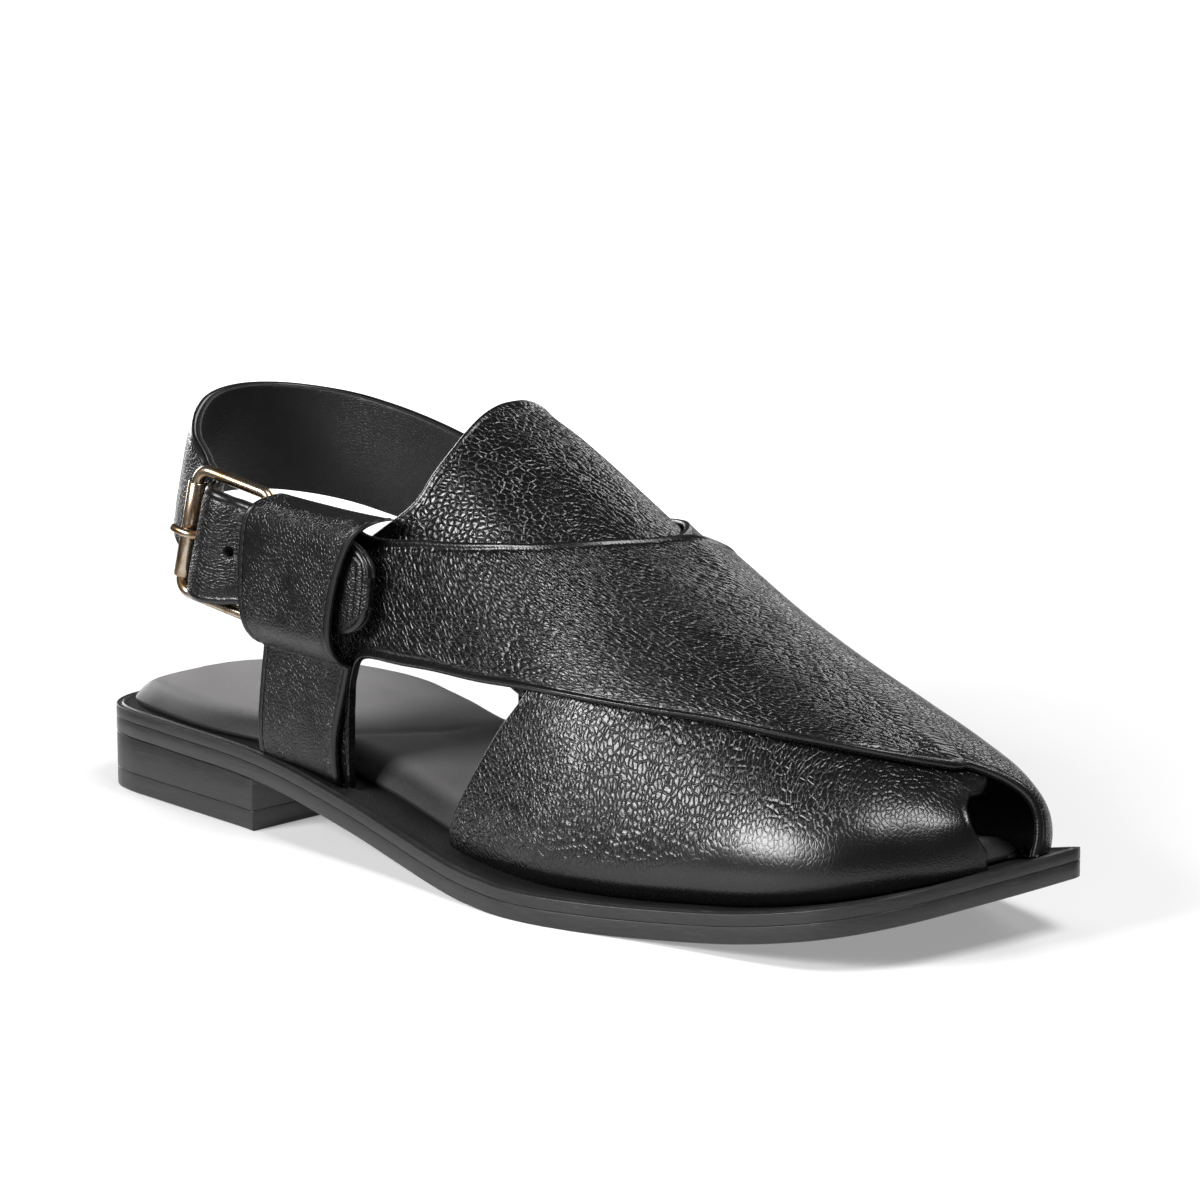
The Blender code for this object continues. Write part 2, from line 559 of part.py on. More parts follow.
# tongue under the crossing
turns = np.linspace(TONGUE_EDGE[0][0], TONGUE_EDGE[-1][0], 26)[:, None]
place = across(8, 0.03)[None, :]
rear = curve(TONGUE_EDGE, 1, turns)
tongue_station = rear * (1.0 - place) + TONGUE_FRONT * place
tongue_turn = turns + 0.0 * place
tongue_top = -GAP - 0.0 * tongue_turn
sheet("tongue", tongue_station, tongue_turn, tongue_top - TONGUE_THICKNESS, tongue_top,
      look(grain_leather, "tongue_leather"))

# stays
stay_sheet("near_stay", NEAR_STAY, False, look(smooth_leather, "near_stay_leather"))
stay_sheet("far_stay", FAR_STAY, True, look(smooth_leather, "far_stay_leather"))

# heel strap with its billet
band = rows_along(HEEL_STRAP, 70)
centre, tangent, width, through = band_frames(band)
run = np.concatenate([[0.0], np.cumsum(np.linalg.norm(np.diff(centre, axis=0), axis=1))])
left_over = run[-1] - run
tip = np.sqrt(np.clip(1.0 - np.clip(1.0 - left_over / BILLET_ROUND, 0.0, 1.0) ** 2, 0.0, 1.0))
half_width = band[:, 5] * BALL_WIDTH * (0.35 + 0.65 * tip)
half_thick = BAND_THICKNESS / 2.0
band_rings = []
for k in range(len(band)):
    band_rings.append([centre[k] + width[k] * w * half_width[k] + through[k] * n * half_thick
                       for w, n in BAND_SECTION])
slingback = closed_rings("slingback", band_rings, look(strap_leather, "slingback_leather"))

# buckle: forward, up and out directions of its frame
roller_middle = np.array(ROLLER_PLACE) * BALL_WIDTH
ahead = unit(np.array(FRONT_BAR_PLACE) * BALL_WIDTH - roller_middle)
upward = unit(np.array([0.0, 0.0, 1.0]) - ahead * ahead[2])
outside = np.cross(ahead, upward)


def buckle_point(forward, up, out):
    return roller_middle + ahead * forward + upward * up + outside * out


corner = 0.0035
bar_half = BUCKLE_INNER_HEIGHT / 2.0 + BUCKLE_BAR
frame_path = []
for sign_f, sign_u, start in ((1, 1, 0.0), (1, -1, 0.5), (-1, -1, 1.0), (-1, 1, 1.5)):
    mid_f = BUCKLE_REACH / 2.0 + sign_f * (BUCKLE_REACH / 2.0 - corner)
    mid_u = sign_u * (bar_half - corner)
    for step in range(4):
        angle = math.pi * (0.5 - start - step / 6.0)
        frame_path.append(buckle_point(mid_f + corner * math.cos(angle), mid_u + corner * math.sin(angle), 0.0))
rod("buckle_frame", frame_path, BUCKLE_BAR, look(aged_brass, "frame_brass"), sides=10, loop=True,
    side_hint=outside)
tube("buckle_roller", buckle_point(0.0, -ROLLER_LENGTH / 2.0 + corner * 0.4, 0.0),
     buckle_point(0.0, ROLLER_LENGTH / 2.0 - corner * 0.4, 0.0), ROLLER_RADIUS, ROLLER_RADIUS - ROLLER_WALL,
     look(aged_brass, "roller_brass"))
prong_rows = rows_along(PRONG_PATH, 22)
prong_path = [buckle_point(f * BUCKLE_REACH, 0.0, o * BUCKLE_REACH) for f, o in prong_rows]
rod("buckle_prong", prong_path, PRONG_RADIUS, look(aged_brass, "prong_brass"), sides=8, side_hint=upward)

# tab round the front bar
tab_inner = BUCKLE_BAR + GAP
tab_outer = tab_inner + TAB_THICKNESS
tab_half = BUCKLE_INNER_HEIGHT / 2.0 - 0.0012
tab_tail = 0.0100
tab_profile = []
for radius in (tab_outer, tab_inner):
    arc = []
    for angle in np.linspace(math.radians(95), math.radians(265), 9):
        arc.append((BUCKLE_REACH + radius * math.cos(angle), radius * math.sin(angle)))
    tail_top = [(BUCKLE_REACH + tab_tail, TAB_TAIL_OUT + (radius - tab_inner) * 1.0)]
    tail_low = [(BUCKLE_REACH + tab_tail, TAB_TAIL_OUT - (radius - tab_inner) * 1.0 - 0.0004)]
    line = tail_top + arc + tail_low
    tab_profile.append(line if radius == tab_outer else line[::-1])
tab_loop = tab_profile[0] + tab_profile[1]
tab_rings = []
for up in (-tab_half, tab_half):
    tab_rings.append([buckle_point(f, up, o) for f, o in tab_loop])
tab = closed_rings("buckle_tab", tab_rings, look(strap_leather, "tab_leather"))

# holes in the billet: the prong's own hole and the next one
prong_cut = [buckle_point(f * BUCKLE_REACH, 0.0, o * BUCKLE_REACH) for f, o in prong_rows[4:16]]
prong_hole = rod("prong_hole_cutter", prong_cut, PRONG_RADIUS + HOLE_CLEARANCE, strap_leather, sides=10,
                 side_hint=upward)
hole_x = roller_middle[0] + BUCKLE_REACH * HOLE_FORWARD
crossing = int(np.argmin(np.abs(centre[:, 0] - hole_x) + np.where(centre[:, 1] > 0.0, SOLE_LENGTH, 0.0)))
reach_through = through[crossing] * BAND_THICKNESS * 1.5
next_hole = rod("next_hole_cutter", [centre[crossing] - reach_through, centre[crossing] + reach_through],
                HOLE_RADIUS, strap_leather, sides=12, side_hint=width[crossing])
for cutter in (prong_hole, next_hole):
    cutter.hide_render = True
    cutter.display_type = 'WIRE'
    cut = slingback.modifiers.new(cutter.name, 'BOOLEAN')
    cut.operation = 'DIFFERENCE'
    cut.solver = 'EXACT'
    cut.object = cutter
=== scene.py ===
import math
from functools import partialmethod

import bpy
import numpy as np
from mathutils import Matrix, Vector


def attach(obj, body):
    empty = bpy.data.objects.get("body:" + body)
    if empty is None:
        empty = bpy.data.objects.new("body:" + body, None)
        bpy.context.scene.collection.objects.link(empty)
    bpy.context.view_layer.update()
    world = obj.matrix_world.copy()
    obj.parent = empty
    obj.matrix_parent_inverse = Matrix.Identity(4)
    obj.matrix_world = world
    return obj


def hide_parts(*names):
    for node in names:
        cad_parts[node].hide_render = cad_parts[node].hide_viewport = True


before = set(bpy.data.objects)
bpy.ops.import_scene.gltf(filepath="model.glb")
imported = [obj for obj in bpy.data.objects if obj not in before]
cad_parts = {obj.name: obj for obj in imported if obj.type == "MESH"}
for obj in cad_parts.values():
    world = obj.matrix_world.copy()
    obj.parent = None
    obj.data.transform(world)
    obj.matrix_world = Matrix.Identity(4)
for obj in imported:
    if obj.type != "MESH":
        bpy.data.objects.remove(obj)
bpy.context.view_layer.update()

# sizes of the sandal
SOLE_LENGTH = 0.290
BALL_WIDTH = 0.102
INSTEP_HEIGHT = 0.115
HEEL_HEIGHT = 0.0226
MIDSOLE_THICKNESS = 0.0030
OUTSOLE_THICKNESS = 0.0040
HEEL_LENGTH = 0.0745
GAP = 0.0003
STRAP_SEAT = 0.0004
LEDGE = 0.0055
INSOLE_THICKNESS = 0.0066
STRAP_THICKNESS = 0.0020
TONGUE_THICKNESS = 0.0022
STAY_THICKNESS = 0.0020
WALL_BULGE_HEIGHT = 0.0090
BAND_THICKNESS = 0.0034
BILLET_ROUND = 0.0110
HOLE_RADIUS = 0.0015
HOLE_FORWARD = 0.77
BUCKLE_BAR = 0.0014
PLATED_FULLNESS = 1.12
ROLLER_RADIUS = 0.0024
ROLLER_WALL = 0.0006
ROLLER_LENGTH = 0.0285
BUCKLE_REACH = 0.0239
BUCKLE_INNER_HEIGHT = 0.0304
PRONG_RADIUS = 0.0011
MIDDLE_X = SOLE_LENGTH / 2.0
MIDDLE_Y = -0.0142 * BALL_WIDTH
MM = 0.001
FLOOR_REACH = 9.0

# outline of the sole, near side then far side: share of length, share of ball width
NEAR_EDGE = [
    (0.000, 0.029), (0.002, -0.088), (0.010, -0.186), (0.029, -0.255), (0.059, -0.287),
    (0.103, -0.304), (0.155, -0.322), (0.207, -0.339), (0.255, -0.357), (0.310, -0.382),
    (0.362, -0.402), (0.414, -0.418), (0.466, -0.437), (0.517, -0.465), (0.569, -0.492),
    (0.614, -0.510), (0.655, -0.506), (0.697, -0.484), (0.752, -0.450), (0.800, -0.426),
    (0.845, -0.409), (0.886, -0.390), (0.917, -0.365), (0.941, -0.324), (0.960, -0.265),
    (0.974, -0.181), (0.986, -0.029), (0.995, 0.118), (1.000, 0.270),
]
FAR_EDGE = [
    (0.000, 0.029), (0.004, 0.137), (0.017, 0.235), (0.041, 0.324), (0.083, 0.387), (0.131, 0.419),
    (0.179, 0.427), (0.228, 0.412), (0.276, 0.388), (0.338, 0.377), (0.397, 0.382), (0.466, 0.407),
    (0.534, 0.436), (0.603, 0.464), (0.672, 0.480), (0.741, 0.480), (0.810, 0.459), (0.879, 0.420),
    (0.938, 0.368), (0.976, 0.328), (1.000, 0.287),
]

# top of the sole: share of length, share of heel height
SOLE_TOP = [
    (0.000, 1.0000), (0.138, 0.9735), (0.255, 0.9336), (0.317, 0.8673), (0.362, 0.7788),
    (0.414, 0.6549), (0.466, 0.5177), (0.510, 0.4248), (0.552, 0.3540), (0.603, 0.3195),
    (0.690, 0.3195), (0.759, 0.3628), (0.845, 0.4867), (0.886, 0.5841), (0.924, 0.6903),
    (0.966, 0.8274), (1.000, 0.9513),
]

# the last: station, near x, near y, far x, far y, crest x, crest y, crest height, fullness, bulge
LAST = [
    (0.20, 0.200, -0.279, 0.214, 0.353, 0.248, 0.010, 1.435, 3.4, 0.010),
    (0.28, 0.276, -0.304, 0.297, 0.309, 0.317, 0.020, 1.304, 3.2, 0.010),
    (0.36, 0.355, -0.319, 0.369, 0.294, 0.372, 0.029, 1.148, 3.0, 0.010),
    (0.43, 0.428, -0.338, 0.434, 0.304, 0.438, 0.044, 1.009, 2.7, 0.018),
    (0.50, 0.500, -0.363, 0.500, 0.328, 0.503, 0.059, 0.922, 2.5, 0.025),
    (0.57, 0.569, -0.392, 0.569, 0.358, 0.569, 0.069, 0.817, 2.4, 0.031),
    (0.64, 0.638, -0.412, 0.638, 0.382, 0.638, 0.074, 0.704, 2.4, 0.033),
    (0.71, 0.707, -0.387, 0.707, 0.387, 0.707, 0.078, 0.600, 2.4, 0.033),
    (0.78, 0.776, -0.348, 0.776, 0.377, 0.776, 0.078, 0.517, 2.4, 0.033),
    (0.85, 0.841, -0.324, 0.852, 0.353, 0.845, 0.078, 0.439, 2.4, 0.031),
    (0.90, 0.886, -0.294, 0.903, 0.324, 0.897, 0.074, 0.383, 2.4, 0.029),
    (0.94, 0.917, -0.250, 0.943, 0.279, 0.928, 0.064, 0.341, 2.4, 0.025),
    (0.97, 0.940, -0.181, 0.968, 0.206, 0.953, 0.057, 0.304, 2.4, 0.020),
    (0.99, 0.965, -0.064, 0.975, 0.127, 0.969, 0.049, 0.265, 2.4, 0.016),
    (1.00, 0.975, 0.020, 0.979, 0.074, 0.977, 0.049, 0.230, 2.4, 0.012),
]

# straps: rear station, rear turn, front station, front turn; over strap: lift in strap thicknesses
OVER_STRAP = [
    (0.300, 0.109, 0.300, 0.000, 0.00), (0.325, 0.127, 0.350, 0.000, 0.00),
    (0.350, 0.141, 0.385, 0.000, 0.00), (0.362, 0.148, 0.387, 0.028, 0.05),
    (0.375, 0.156, 0.389, 0.047, 0.15), (0.398, 0.167, 0.404, 0.069, 0.35),
    (0.448, 0.210, 0.462, 0.098, 0.70), (0.496, 0.245, 0.548, 0.136, 0.95),
    (0.534, 0.281, 0.622, 0.173, 1.00), (0.568, 0.320, 0.695, 0.211, 1.00),
    (0.597, 0.370, 0.765, 0.253, 1.00), (0.618, 0.425, 0.830, 0.297, 1.00),
    (0.632, 0.480, 0.882, 0.357, 1.00), (0.640, 0.550, 0.920, 0.427, 1.00),
    (0.636, 0.630, 0.942, 0.492, 1.00), (0.622, 0.710, 0.957, 0.548, 1.00),
    (0.602, 0.790, 0.967, 0.625, 1.00), (0.578, 0.870, 0.974, 0.735, 1.00),
    (0.550, 0.940, 0.982, 0.860, 1.00), (0.520, 1.000, 0.987, 1.000, 1.00),
]
UNDER_STRAP = [
    (0.352, 0.865, 0.352, 1.000), (0.378, 0.850, 0.395, 1.000), (0.405, 0.835, 0.432, 1.000),
    (0.418, 0.828, 0.435, 0.972), (0.430, 0.820, 0.439, 0.950), (0.450, 0.805, 0.460, 0.928),
    (0.485, 0.765, 0.515, 0.893), (0.518, 0.730, 0.575, 0.860), (0.552, 0.690, 0.640, 0.825),
    (0.580, 0.645, 0.710, 0.785), (0.603, 0.590, 0.775, 0.740), (0.620, 0.530, 0.835, 0.695),
    (0.628, 0.470, 0.888, 0.645), (0.630, 0.400, 0.930, 0.588), (0.626, 0.310, 0.958, 0.548),
    (0.618, 0.235, 0.968, 0.505), (0.603, 0.163, 0.978, 0.465), (0.581, 0.112, 0.989, 0.395),
    (0.553, 0.055, 0.999, 0.250), (0.520, 0.000, 1.000, 0.000),
]

# rear edge of the tongue: turn, station
TONGUE_EDGE = [
    (0.150, 0.385), (0.179, 0.401), (0.245, 0.430), (0.286, 0.437), (0.332, 0.443), (0.401, 0.445),
    (0.446, 0.443), (0.500, 0.440), (0.554, 0.443), (0.599, 0.445), (0.668, 0.444), (0.714, 0.442),
    (0.755, 0.437), (0.815, 0.425), (0.850, 0.412),
]
TONGUE_FRONT = 0.66

# stays: height share, rear station, front station, lift in stay thicknesses
NEAR_STAY = [
    (0.180, 0.268, 0.378, 1.25), (0.270, 0.270, 0.378, 1.25), (0.370, 0.273, 0.386, 1.25),
    (0.425, 0.276, 0.391, 1.30), (0.437, 0.277, 0.392, 1.50), (0.445, 0.277, 0.393, 2.50),
    (0.457, 0.277, 0.393, 3.50), (0.479, 0.276, 0.393, 4.50), (0.510, 0.275, 0.393, 5.10),
    (0.560, 0.273, 0.394, 5.30), (0.630, 0.273, 0.397, 5.30), (0.710, 0.275, 0.405, 5.30),
    (0.745, 0.279, 0.412, 4.90), (0.764, 0.283, 0.418, 3.80), (0.775, 0.287, 0.423, 2.20),
    (0.780, 0.290, 0.427, 1.35),
]
FAR_STAY = [
    (0.160, 0.347, 0.430, 1.25), (0.270, 0.348, 0.431, 1.25), (0.370, 0.350, 0.436, 1.25),
    (0.430, 0.351, 0.440, 1.50), (0.480, 0.351, 0.441, 2.80), (0.530, 0.350, 0.441, 3.60),
    (0.570, 0.350, 0.441, 3.70), (0.680, 0.350, 0.441, 3.70), (0.770, 0.351, 0.441, 3.60),
    (0.805, 0.352, 0.441, 3.50), (0.825, 0.353, 0.441, 2.90), (0.838, 0.354, 0.441, 1.70),
]
LOOP_DROP = 0.25

# heel strap and billet: x, y, height, forward lean, sideways lean, half width in shares of ball width
HEEL_STRAP = [
    (1.167, 0.323, 0.728, 0.00, -0.10, 0.124), (1.010, 0.326, 0.761, 0.00, -0.08, 0.129),
    (0.882, 0.339, 0.786, 0.00, -0.06, 0.137), (0.775, 0.351, 0.807, 0.00, -0.05, 0.143),
    (0.647, 0.355, 0.831, 0.00, -0.05, 0.147), (0.529, 0.347, 0.853, 0.02, -0.06, 0.149),
    (0.412, 0.320, 0.876, 0.08, -0.09, 0.150), (0.319, 0.260, 0.895, 0.14, -0.11, 0.150),
    (0.250, 0.167, 0.910, 0.20, -0.08, 0.150), (0.222, 0.049, 0.915, 0.23, 0.00, 0.150),
    (0.240, -0.069, 0.905, 0.22, 0.06, 0.149), (0.304, -0.176, 0.878, 0.18, 0.10, 0.146),
    (0.387, -0.255, 0.843, 0.10, 0.10, 0.144), (0.466, -0.296, 0.802, 0.08, 0.08, 0.142),
    (0.510, -0.315, 0.776, 0.14, 0.08, 0.142), (0.549, -0.330, 0.761, 0.22, 0.06, 0.143),
    (0.573, -0.354, 0.753, 0.25, 0.05, 0.144), (0.589, -0.384, 0.747, 0.25, 0.04, 0.146),
    (0.612, -0.408, 0.741, 0.23, 0.04, 0.148), (0.650, -0.417, 0.735, 0.19, 0.04, 0.147),
    (0.691, -0.406, 0.729, 0.13, 0.04, 0.141), (0.725, -0.391, 0.725, 0.07, 0.05, 0.134),
    (0.765, -0.380, 0.718, 0.02, 0.05, 0.128), (0.814, -0.378, 0.709, 0.00, 0.05, 0.125),
    (0.902, -0.380, 0.698, 0.00, 0.06, 0.123), (1.029, -0.384, 0.688, 0.00, 0.07, 0.121),
    (1.196, -0.385, 0.679, 0.00, 0.08, 0.117),
]
ROLLER_PLACE = (0.529, -0.373, 0.760)
FRONT_BAR_PLACE = (0.755, -0.333, 0.708)

# prong: forward and outward, in shares of the buckle's reach
PRONG_PATH = [
    (0.865, -0.030), (0.750, -0.085), (0.580, -0.150), (0.440, -0.190), (0.340, -0.150),
    (0.270, -0.010), (0.200, 0.120), (0.110, 0.170), (0.000, 0.178), (-0.090, 0.160),
    (-0.130, 0.140),
]

# insole edge inside the sole edge: share of length, inset in ledges
INSOLE_NEAR = [(0.00, 1.0), (0.22, 1.0), (0.27, 1.75), (0.70, 1.79), (0.87, 1.94), (0.94, 1.94), (1.00, 2.3)]
INSOLE_FAR = [(0.00, 0.9), (0.31, 0.9), (0.36, 1.75), (0.90, 1.8), (1.00, 2.5)]


def curve(rows, value, at):
    """Smooth curve through the first column of rows and one other column."""
    rows = np.asarray(rows, dtype=float)
    xs = rows[:, 0]
    ys = rows[:, value]
    at = np.clip(at, xs[0], xs[-1])
    step = np.diff(xs)
    slope = np.diff(ys) / step
    grade = np.zeros_like(ys)
    grade[1:-1] = (slope[:-1] * step[1:] + slope[1:] * step[:-1]) / (step[:-1] + step[1:])
    grade[0] = slope[0]
    grade[-1] = slope[-1]
    left = np.clip(np.searchsorted(xs, at) - 1, 0, len(step) - 1)
    t = (at - xs[left]) / step[left]
    first = (2 * t ** 3 - 3 * t ** 2 + 1) * ys[left] + (t ** 3 - 2 * t ** 2 + t) * step[left] * grade[left]
    second = (3 * t ** 2 - 2 * t ** 3) * ys[left + 1] + (t ** 3 - t ** 2) * step[left] * grade[left + 1]
    return first + second


def rows_along(rows, count):
    """Resample a table smoothly along its rows."""
    table = np.asarray(rows, dtype=float)
    numbered = np.column_stack([np.arange(len(table)), table])
    places = np.linspace(0, len(table) - 1, count)
    return np.column_stack([curve(numbered, k + 1, places) for k in range(table.shape[1])])


def unit(vector):
    return vector / np.maximum(np.linalg.norm(vector, axis=-1, keepdims=True), 1e-12)


def ease(value, low, high):
    """Smooth step from 0 at low to 1 at high."""
    t = np.clip((value - low) / (high - low), 0.0, 1.0)
    return t * t * (3.0 - 2.0 * t)


def hump(value, middle, width):
    """Soft ridge of height 1."""
    return np.exp(-((value - middle) / width) ** 2)


def ridge(distance, height, middle, width):
    """Soft ridge along an edge, all in millimetres but the distance."""
    return height * MM * hump(distance, middle * MM, width * MM)


def fade_in(distance, low, high):
    """Smooth step from 0 to 1 between two distances in millimetres."""
    return ease(distance, low * MM, high * MM)


def sole_top(x):
    return curve(SOLE_TOP, 1, x / SOLE_LENGTH) * HEEL_HEIGHT


def last_point(station, turn):
    """Point on the foot form: turn 0 is the near base, 0.5 the crest, 1 the far base."""
    near_x, near_y, far_x, far_y, crest_x, crest_y, crest_z, fullness, bulge = [
        curve(LAST, k, station) for k in range(1, 10)]
    near = turn < 0.5
    angle = np.pi * np.where(near, turn, 1.0 - turn)
    base_x = np.where(near, near_x, far_x) * SOLE_LENGTH
    base_y = np.where(near, near_y, far_y) * BALL_WIDTH
    crest_x = crest_x * SOLE_LENGTH
    crest_y = crest_y * BALL_WIDTH
    base_z = sole_top(base_x) + STRAP_SEAT
    side = np.maximum(np.cos(angle), 0.0) ** (2.0 / fullness)
    rise = np.maximum(np.sin(angle), 0.0) ** (2.0 / fullness)
    climb = rise * (crest_z * INSTEP_HEIGHT - base_z)
    half = np.hypot(base_x - crest_x, base_y - crest_y)
    swell = climb / WALL_BULGE_HEIGHT * np.exp(1.0 - climb / WALL_BULGE_HEIGHT)
    side = side + bulge * BALL_WIDTH / half * swell
    x = crest_x + side * (base_x - crest_x)
    y = crest_y + side * (base_y - crest_y)
    return np.stack([x, y, base_z + climb], -1)


def skin(station, turn, lift):
    """Point lifted off the foot form along its normal, never below the ledge."""
    step = 0.001
    turn = np.clip(turn, 0.0, 1.0)
    ahead = np.clip(station + step, LAST[0][0], 1.0)
    behind = np.clip(station - step, LAST[0][0], 1.0)
    over = np.clip(turn + step, 0.0, 1.0)
    under = np.clip(turn - step, 0.0, 1.0)
    along = last_point(ahead, turn) - last_point(behind, turn)
    around = last_point(station, over) - last_point(station, under)
    normal = unit(np.cross(along, around))
    point = last_point(station, turn) + normal * lift[..., None]
    point[..., 2] = np.maximum(point[..., 2], sole_top(point[..., 0]) + STRAP_SEAT)
    return point


def turn_at(station, height, far):
    """Turn round the last at a height above the floor."""
    base_x = curve(LAST, 3 if far else 1, station) * SOLE_LENGTH
    base_z = sole_top(base_x) + STRAP_SEAT
    crest_z = curve(LAST, 7, station) * INSTEP_HEIGHT
    fullness = curve(LAST, 8, station)
    share = np.clip((height - base_z) / (crest_z - base_z), 0.0, 1.0)
    turn = np.arcsin(share ** (fullness / 2.0)) / np.pi
    return 1.0 - turn if far else turn


class Signal:
    """A number that varies over a surface, with Python's arithmetic."""

    def __init__(self, look, socket):
        self.look = look
        self.socket = socket

    def math(self, operation, *others):
        values = dict(enumerate((self, *others)))
        return self.look.node("ShaderNodeMath", {"operation": operation}, values).out(0)

    __add__ = __radd__ = partialmethod(math, "ADD")
    __mul__ = __rmul__ = partialmethod(math, "MULTIPLY")
    __sub__ = partialmethod(math, "SUBTRACT")
    __rsub__ = partialmethod(math, "MULTIPLY_ADD", -1.0)
    __truediv__ = partialmethod(math, "DIVIDE")
    least = partialmethod(math, "MINIMUM")
    most = partialmethod(math, "MAXIMUM")

    def step(self, low, high, start=0.0, end=1.0):
        """Smooth change from start to end between low and high."""
        values = {"Value": self, "From Min": low, "From Max": high, "To Min": start, "To Max": end}
        return self.look.node("ShaderNodeMapRange", {"interpolation_type": "SMOOTHSTEP"}, values).out("Result")


class Made:
    """A node whose outputs come back as signals."""

    def __init__(self, look, node):
        self.look = look
        self.node = node

    def out(self, name):
        return Signal(self.look, self.node.outputs[name])


class Look:
    """One material, built round its Principled shader."""

    def __init__(self, name, colour, roughness, **uniform):
        self.material = bpy.data.materials.new(name)
        self.material.use_nodes = True
        self.tree = self.material.node_tree
        self.shader = self.tree.nodes["Principled BSDF"]
        self.feed(self.shader.inputs["Base Color"], (*colour, 1.0))
        self.feed(self.shader.inputs["Roughness"], roughness)
        for socket, value in uniform.items():
            self.feed(self.shader.inputs[socket.replace("_", " ")], value)
        self.tree.nodes["Material Output"].location = (400, 0)

    def feed(self, socket, value):
        if isinstance(value, Signal):
            self.tree.links.new(value.socket, socket)
        else:
            socket.default_value = value

    def node(self, kind, settings=None, values=None):
        made = self.tree.nodes.new(kind)
        for key, value in (settings or {}).items():
            setattr(made, key, value)
        for key, value in (values or {}).items():
            self.feed(made.inputs[key], value)
        return Made(self, made)

    def place(self):
        """Object coordinates, in metres."""
        return self.node("ShaderNodeTexCoord").out("Object")

    def attribute(self, name):
        return self.node("ShaderNodeAttribute", {"attribute_name": name}).out("Fac")

    def layout(self, name="grain"):
        return self.node("ShaderNodeUVMap", {"uv_map": name}).out("UV")

    def mapped(self, vector, scale=(1.0, 1.0, 1.0), turn=(0.0, 0.0, 0.0)):
        values = {"Vector": vector, "Rotation": turn, "Scale": scale}
        return self.node("ShaderNodeMapping", None, values).out("Vector")

    def noise(self, vector, scale, detail=3.0, warp=0.0, out="Fac"):
        values = {"Vector": vector, "Scale": scale, "Detail": detail, "Roughness": 0.55, "Distortion": warp}
        return self.node("ShaderNodeTexNoise", None, values).out(out)

    def cells(self, vector, scale, flat=True):
        """Distance to the nearest border between cells."""
        settings = {"feature": "DISTANCE_TO_EDGE", "voronoi_dimensions": "2D" if flat else "3D"}
        return self.node("ShaderNodeTexVoronoi", settings, {"Vector": vector, "Scale": scale}).out("Distance")

    def blended(self, factor, one, two):
        settings = {"data_type": "RGBA"}
        values = {"Factor": factor, 6: one if isinstance(one, Signal) else (*one, 1.0),
                  7: two if isinstance(two, Signal) else (*two, 1.0)}
        return self.node("ShaderNodeMix", settings, values).out(2)

    def bent(self, vector, by, amount):
        """Vector pushed about by a colour."""
        centred = self.vector_math("SUBTRACT", {0: by, 1: (0.5, 0.5, 0.5)})
        scaled = self.vector_math("SCALE", {0: centred, "Scale": amount})
        return self.vector_math("ADD", {0: vector, 1: scaled})

    def vector_math(self, operation, values, out=0):
        return self.node("ShaderNodeVectorMath", {"operation": operation}, values).out(out)

    def relief(self, height, distance):
        values = {"Height": height, "Distance": distance, "Strength": 1.0}
        self.feed(self.shader.inputs["Normal"], self.node("ShaderNodeBump", None, values).out("Normal"))

    def colour(self, value):
        self.feed(self.shader.inputs["Base Color"], value)

    def rough(self, value):
        self.feed(self.shader.inputs["Roughness"], value)


def pebbled_leather(name, pebble=1.30, stretch=0.50, slant=-0.75, depth=0.21, gloss=0.17):
    """Full grain leather: long plump pebbles between sharp creases, smooth along turned edges."""
    look = Look(name, (0.0040, 0.0040, 0.0043), gloss, Specular_IOR_Level=0.5)
    flat = look.layout()
    drift = look.noise(flat, 120.0, 2.0, out="Color")
    bent = look.bent(flat, drift, 3.0 * MM)
    small_drift = look.noise(flat, 520.0, 2.0, out="Color")
    bent = look.bent(bent, small_drift, 0.9 * MM)
    fore = look.node("ShaderNodeSeparateXYZ", None, {0: look.place()}).out("X").step(-0.010, 0.070)
    steep = look.mapped(look.mapped(bent, turn=(0.0, 0.0, slant)), scale=(stretch, 1.0, 1.0))
    level = look.mapped(look.mapped(bent, turn=(0.0, 0.0, slant * 0.25)), scale=(stretch, 1.1, 1.0))
    long_pebble = look.cells(steep, 1000.0 / pebble)
    close_pebble = look.cells(level, 1100.0 / pebble)
    crease = long_pebble.step(0.0, 0.20) * (1.0 - fore) + close_pebble.step(0.0, 0.22) * fore * 0.60
    dome = long_pebble.least(0.5) * (1.0 - fore) + close_pebble.least(0.5) * fore * 0.60
    wrinkle = look.noise(look.mapped(steep, scale=(0.6, 1.6, 1.0)), 900.0, 3.0)
    calm = look.noise(flat, 45.0, 2.0).step(0.36, 0.66)
    plump = look.attribute("plump") * 0.86 + 0.14
    height = (crease * (0.55 + calm * 0.45) + dome * 0.9 + wrinkle * 0.55) * plump
    pores = look.noise(flat, 3400.0, 2.0)
    look.relief(height + pores * 0.04, depth * MM)
    # crease mask: rougher in the creases, and it carries the painted shade below
    sunk_and_shaded = (1.0 - crease.least(1.0)) * plump
    look.rough(sunk_and_shaded * 0.16 + calm * 0.05 + pores * 0.08 + gloss + 0.05 - plump * 0.09)
    # colour falls to near black in the creases between pebbles: painted shade
    look.colour(look.blended(1.0 - sunk_and_shaded * 0.9, (0.0014, 0.0014, 0.0016), (0.0034, 0.0033, 0.0035)))
    return look.material


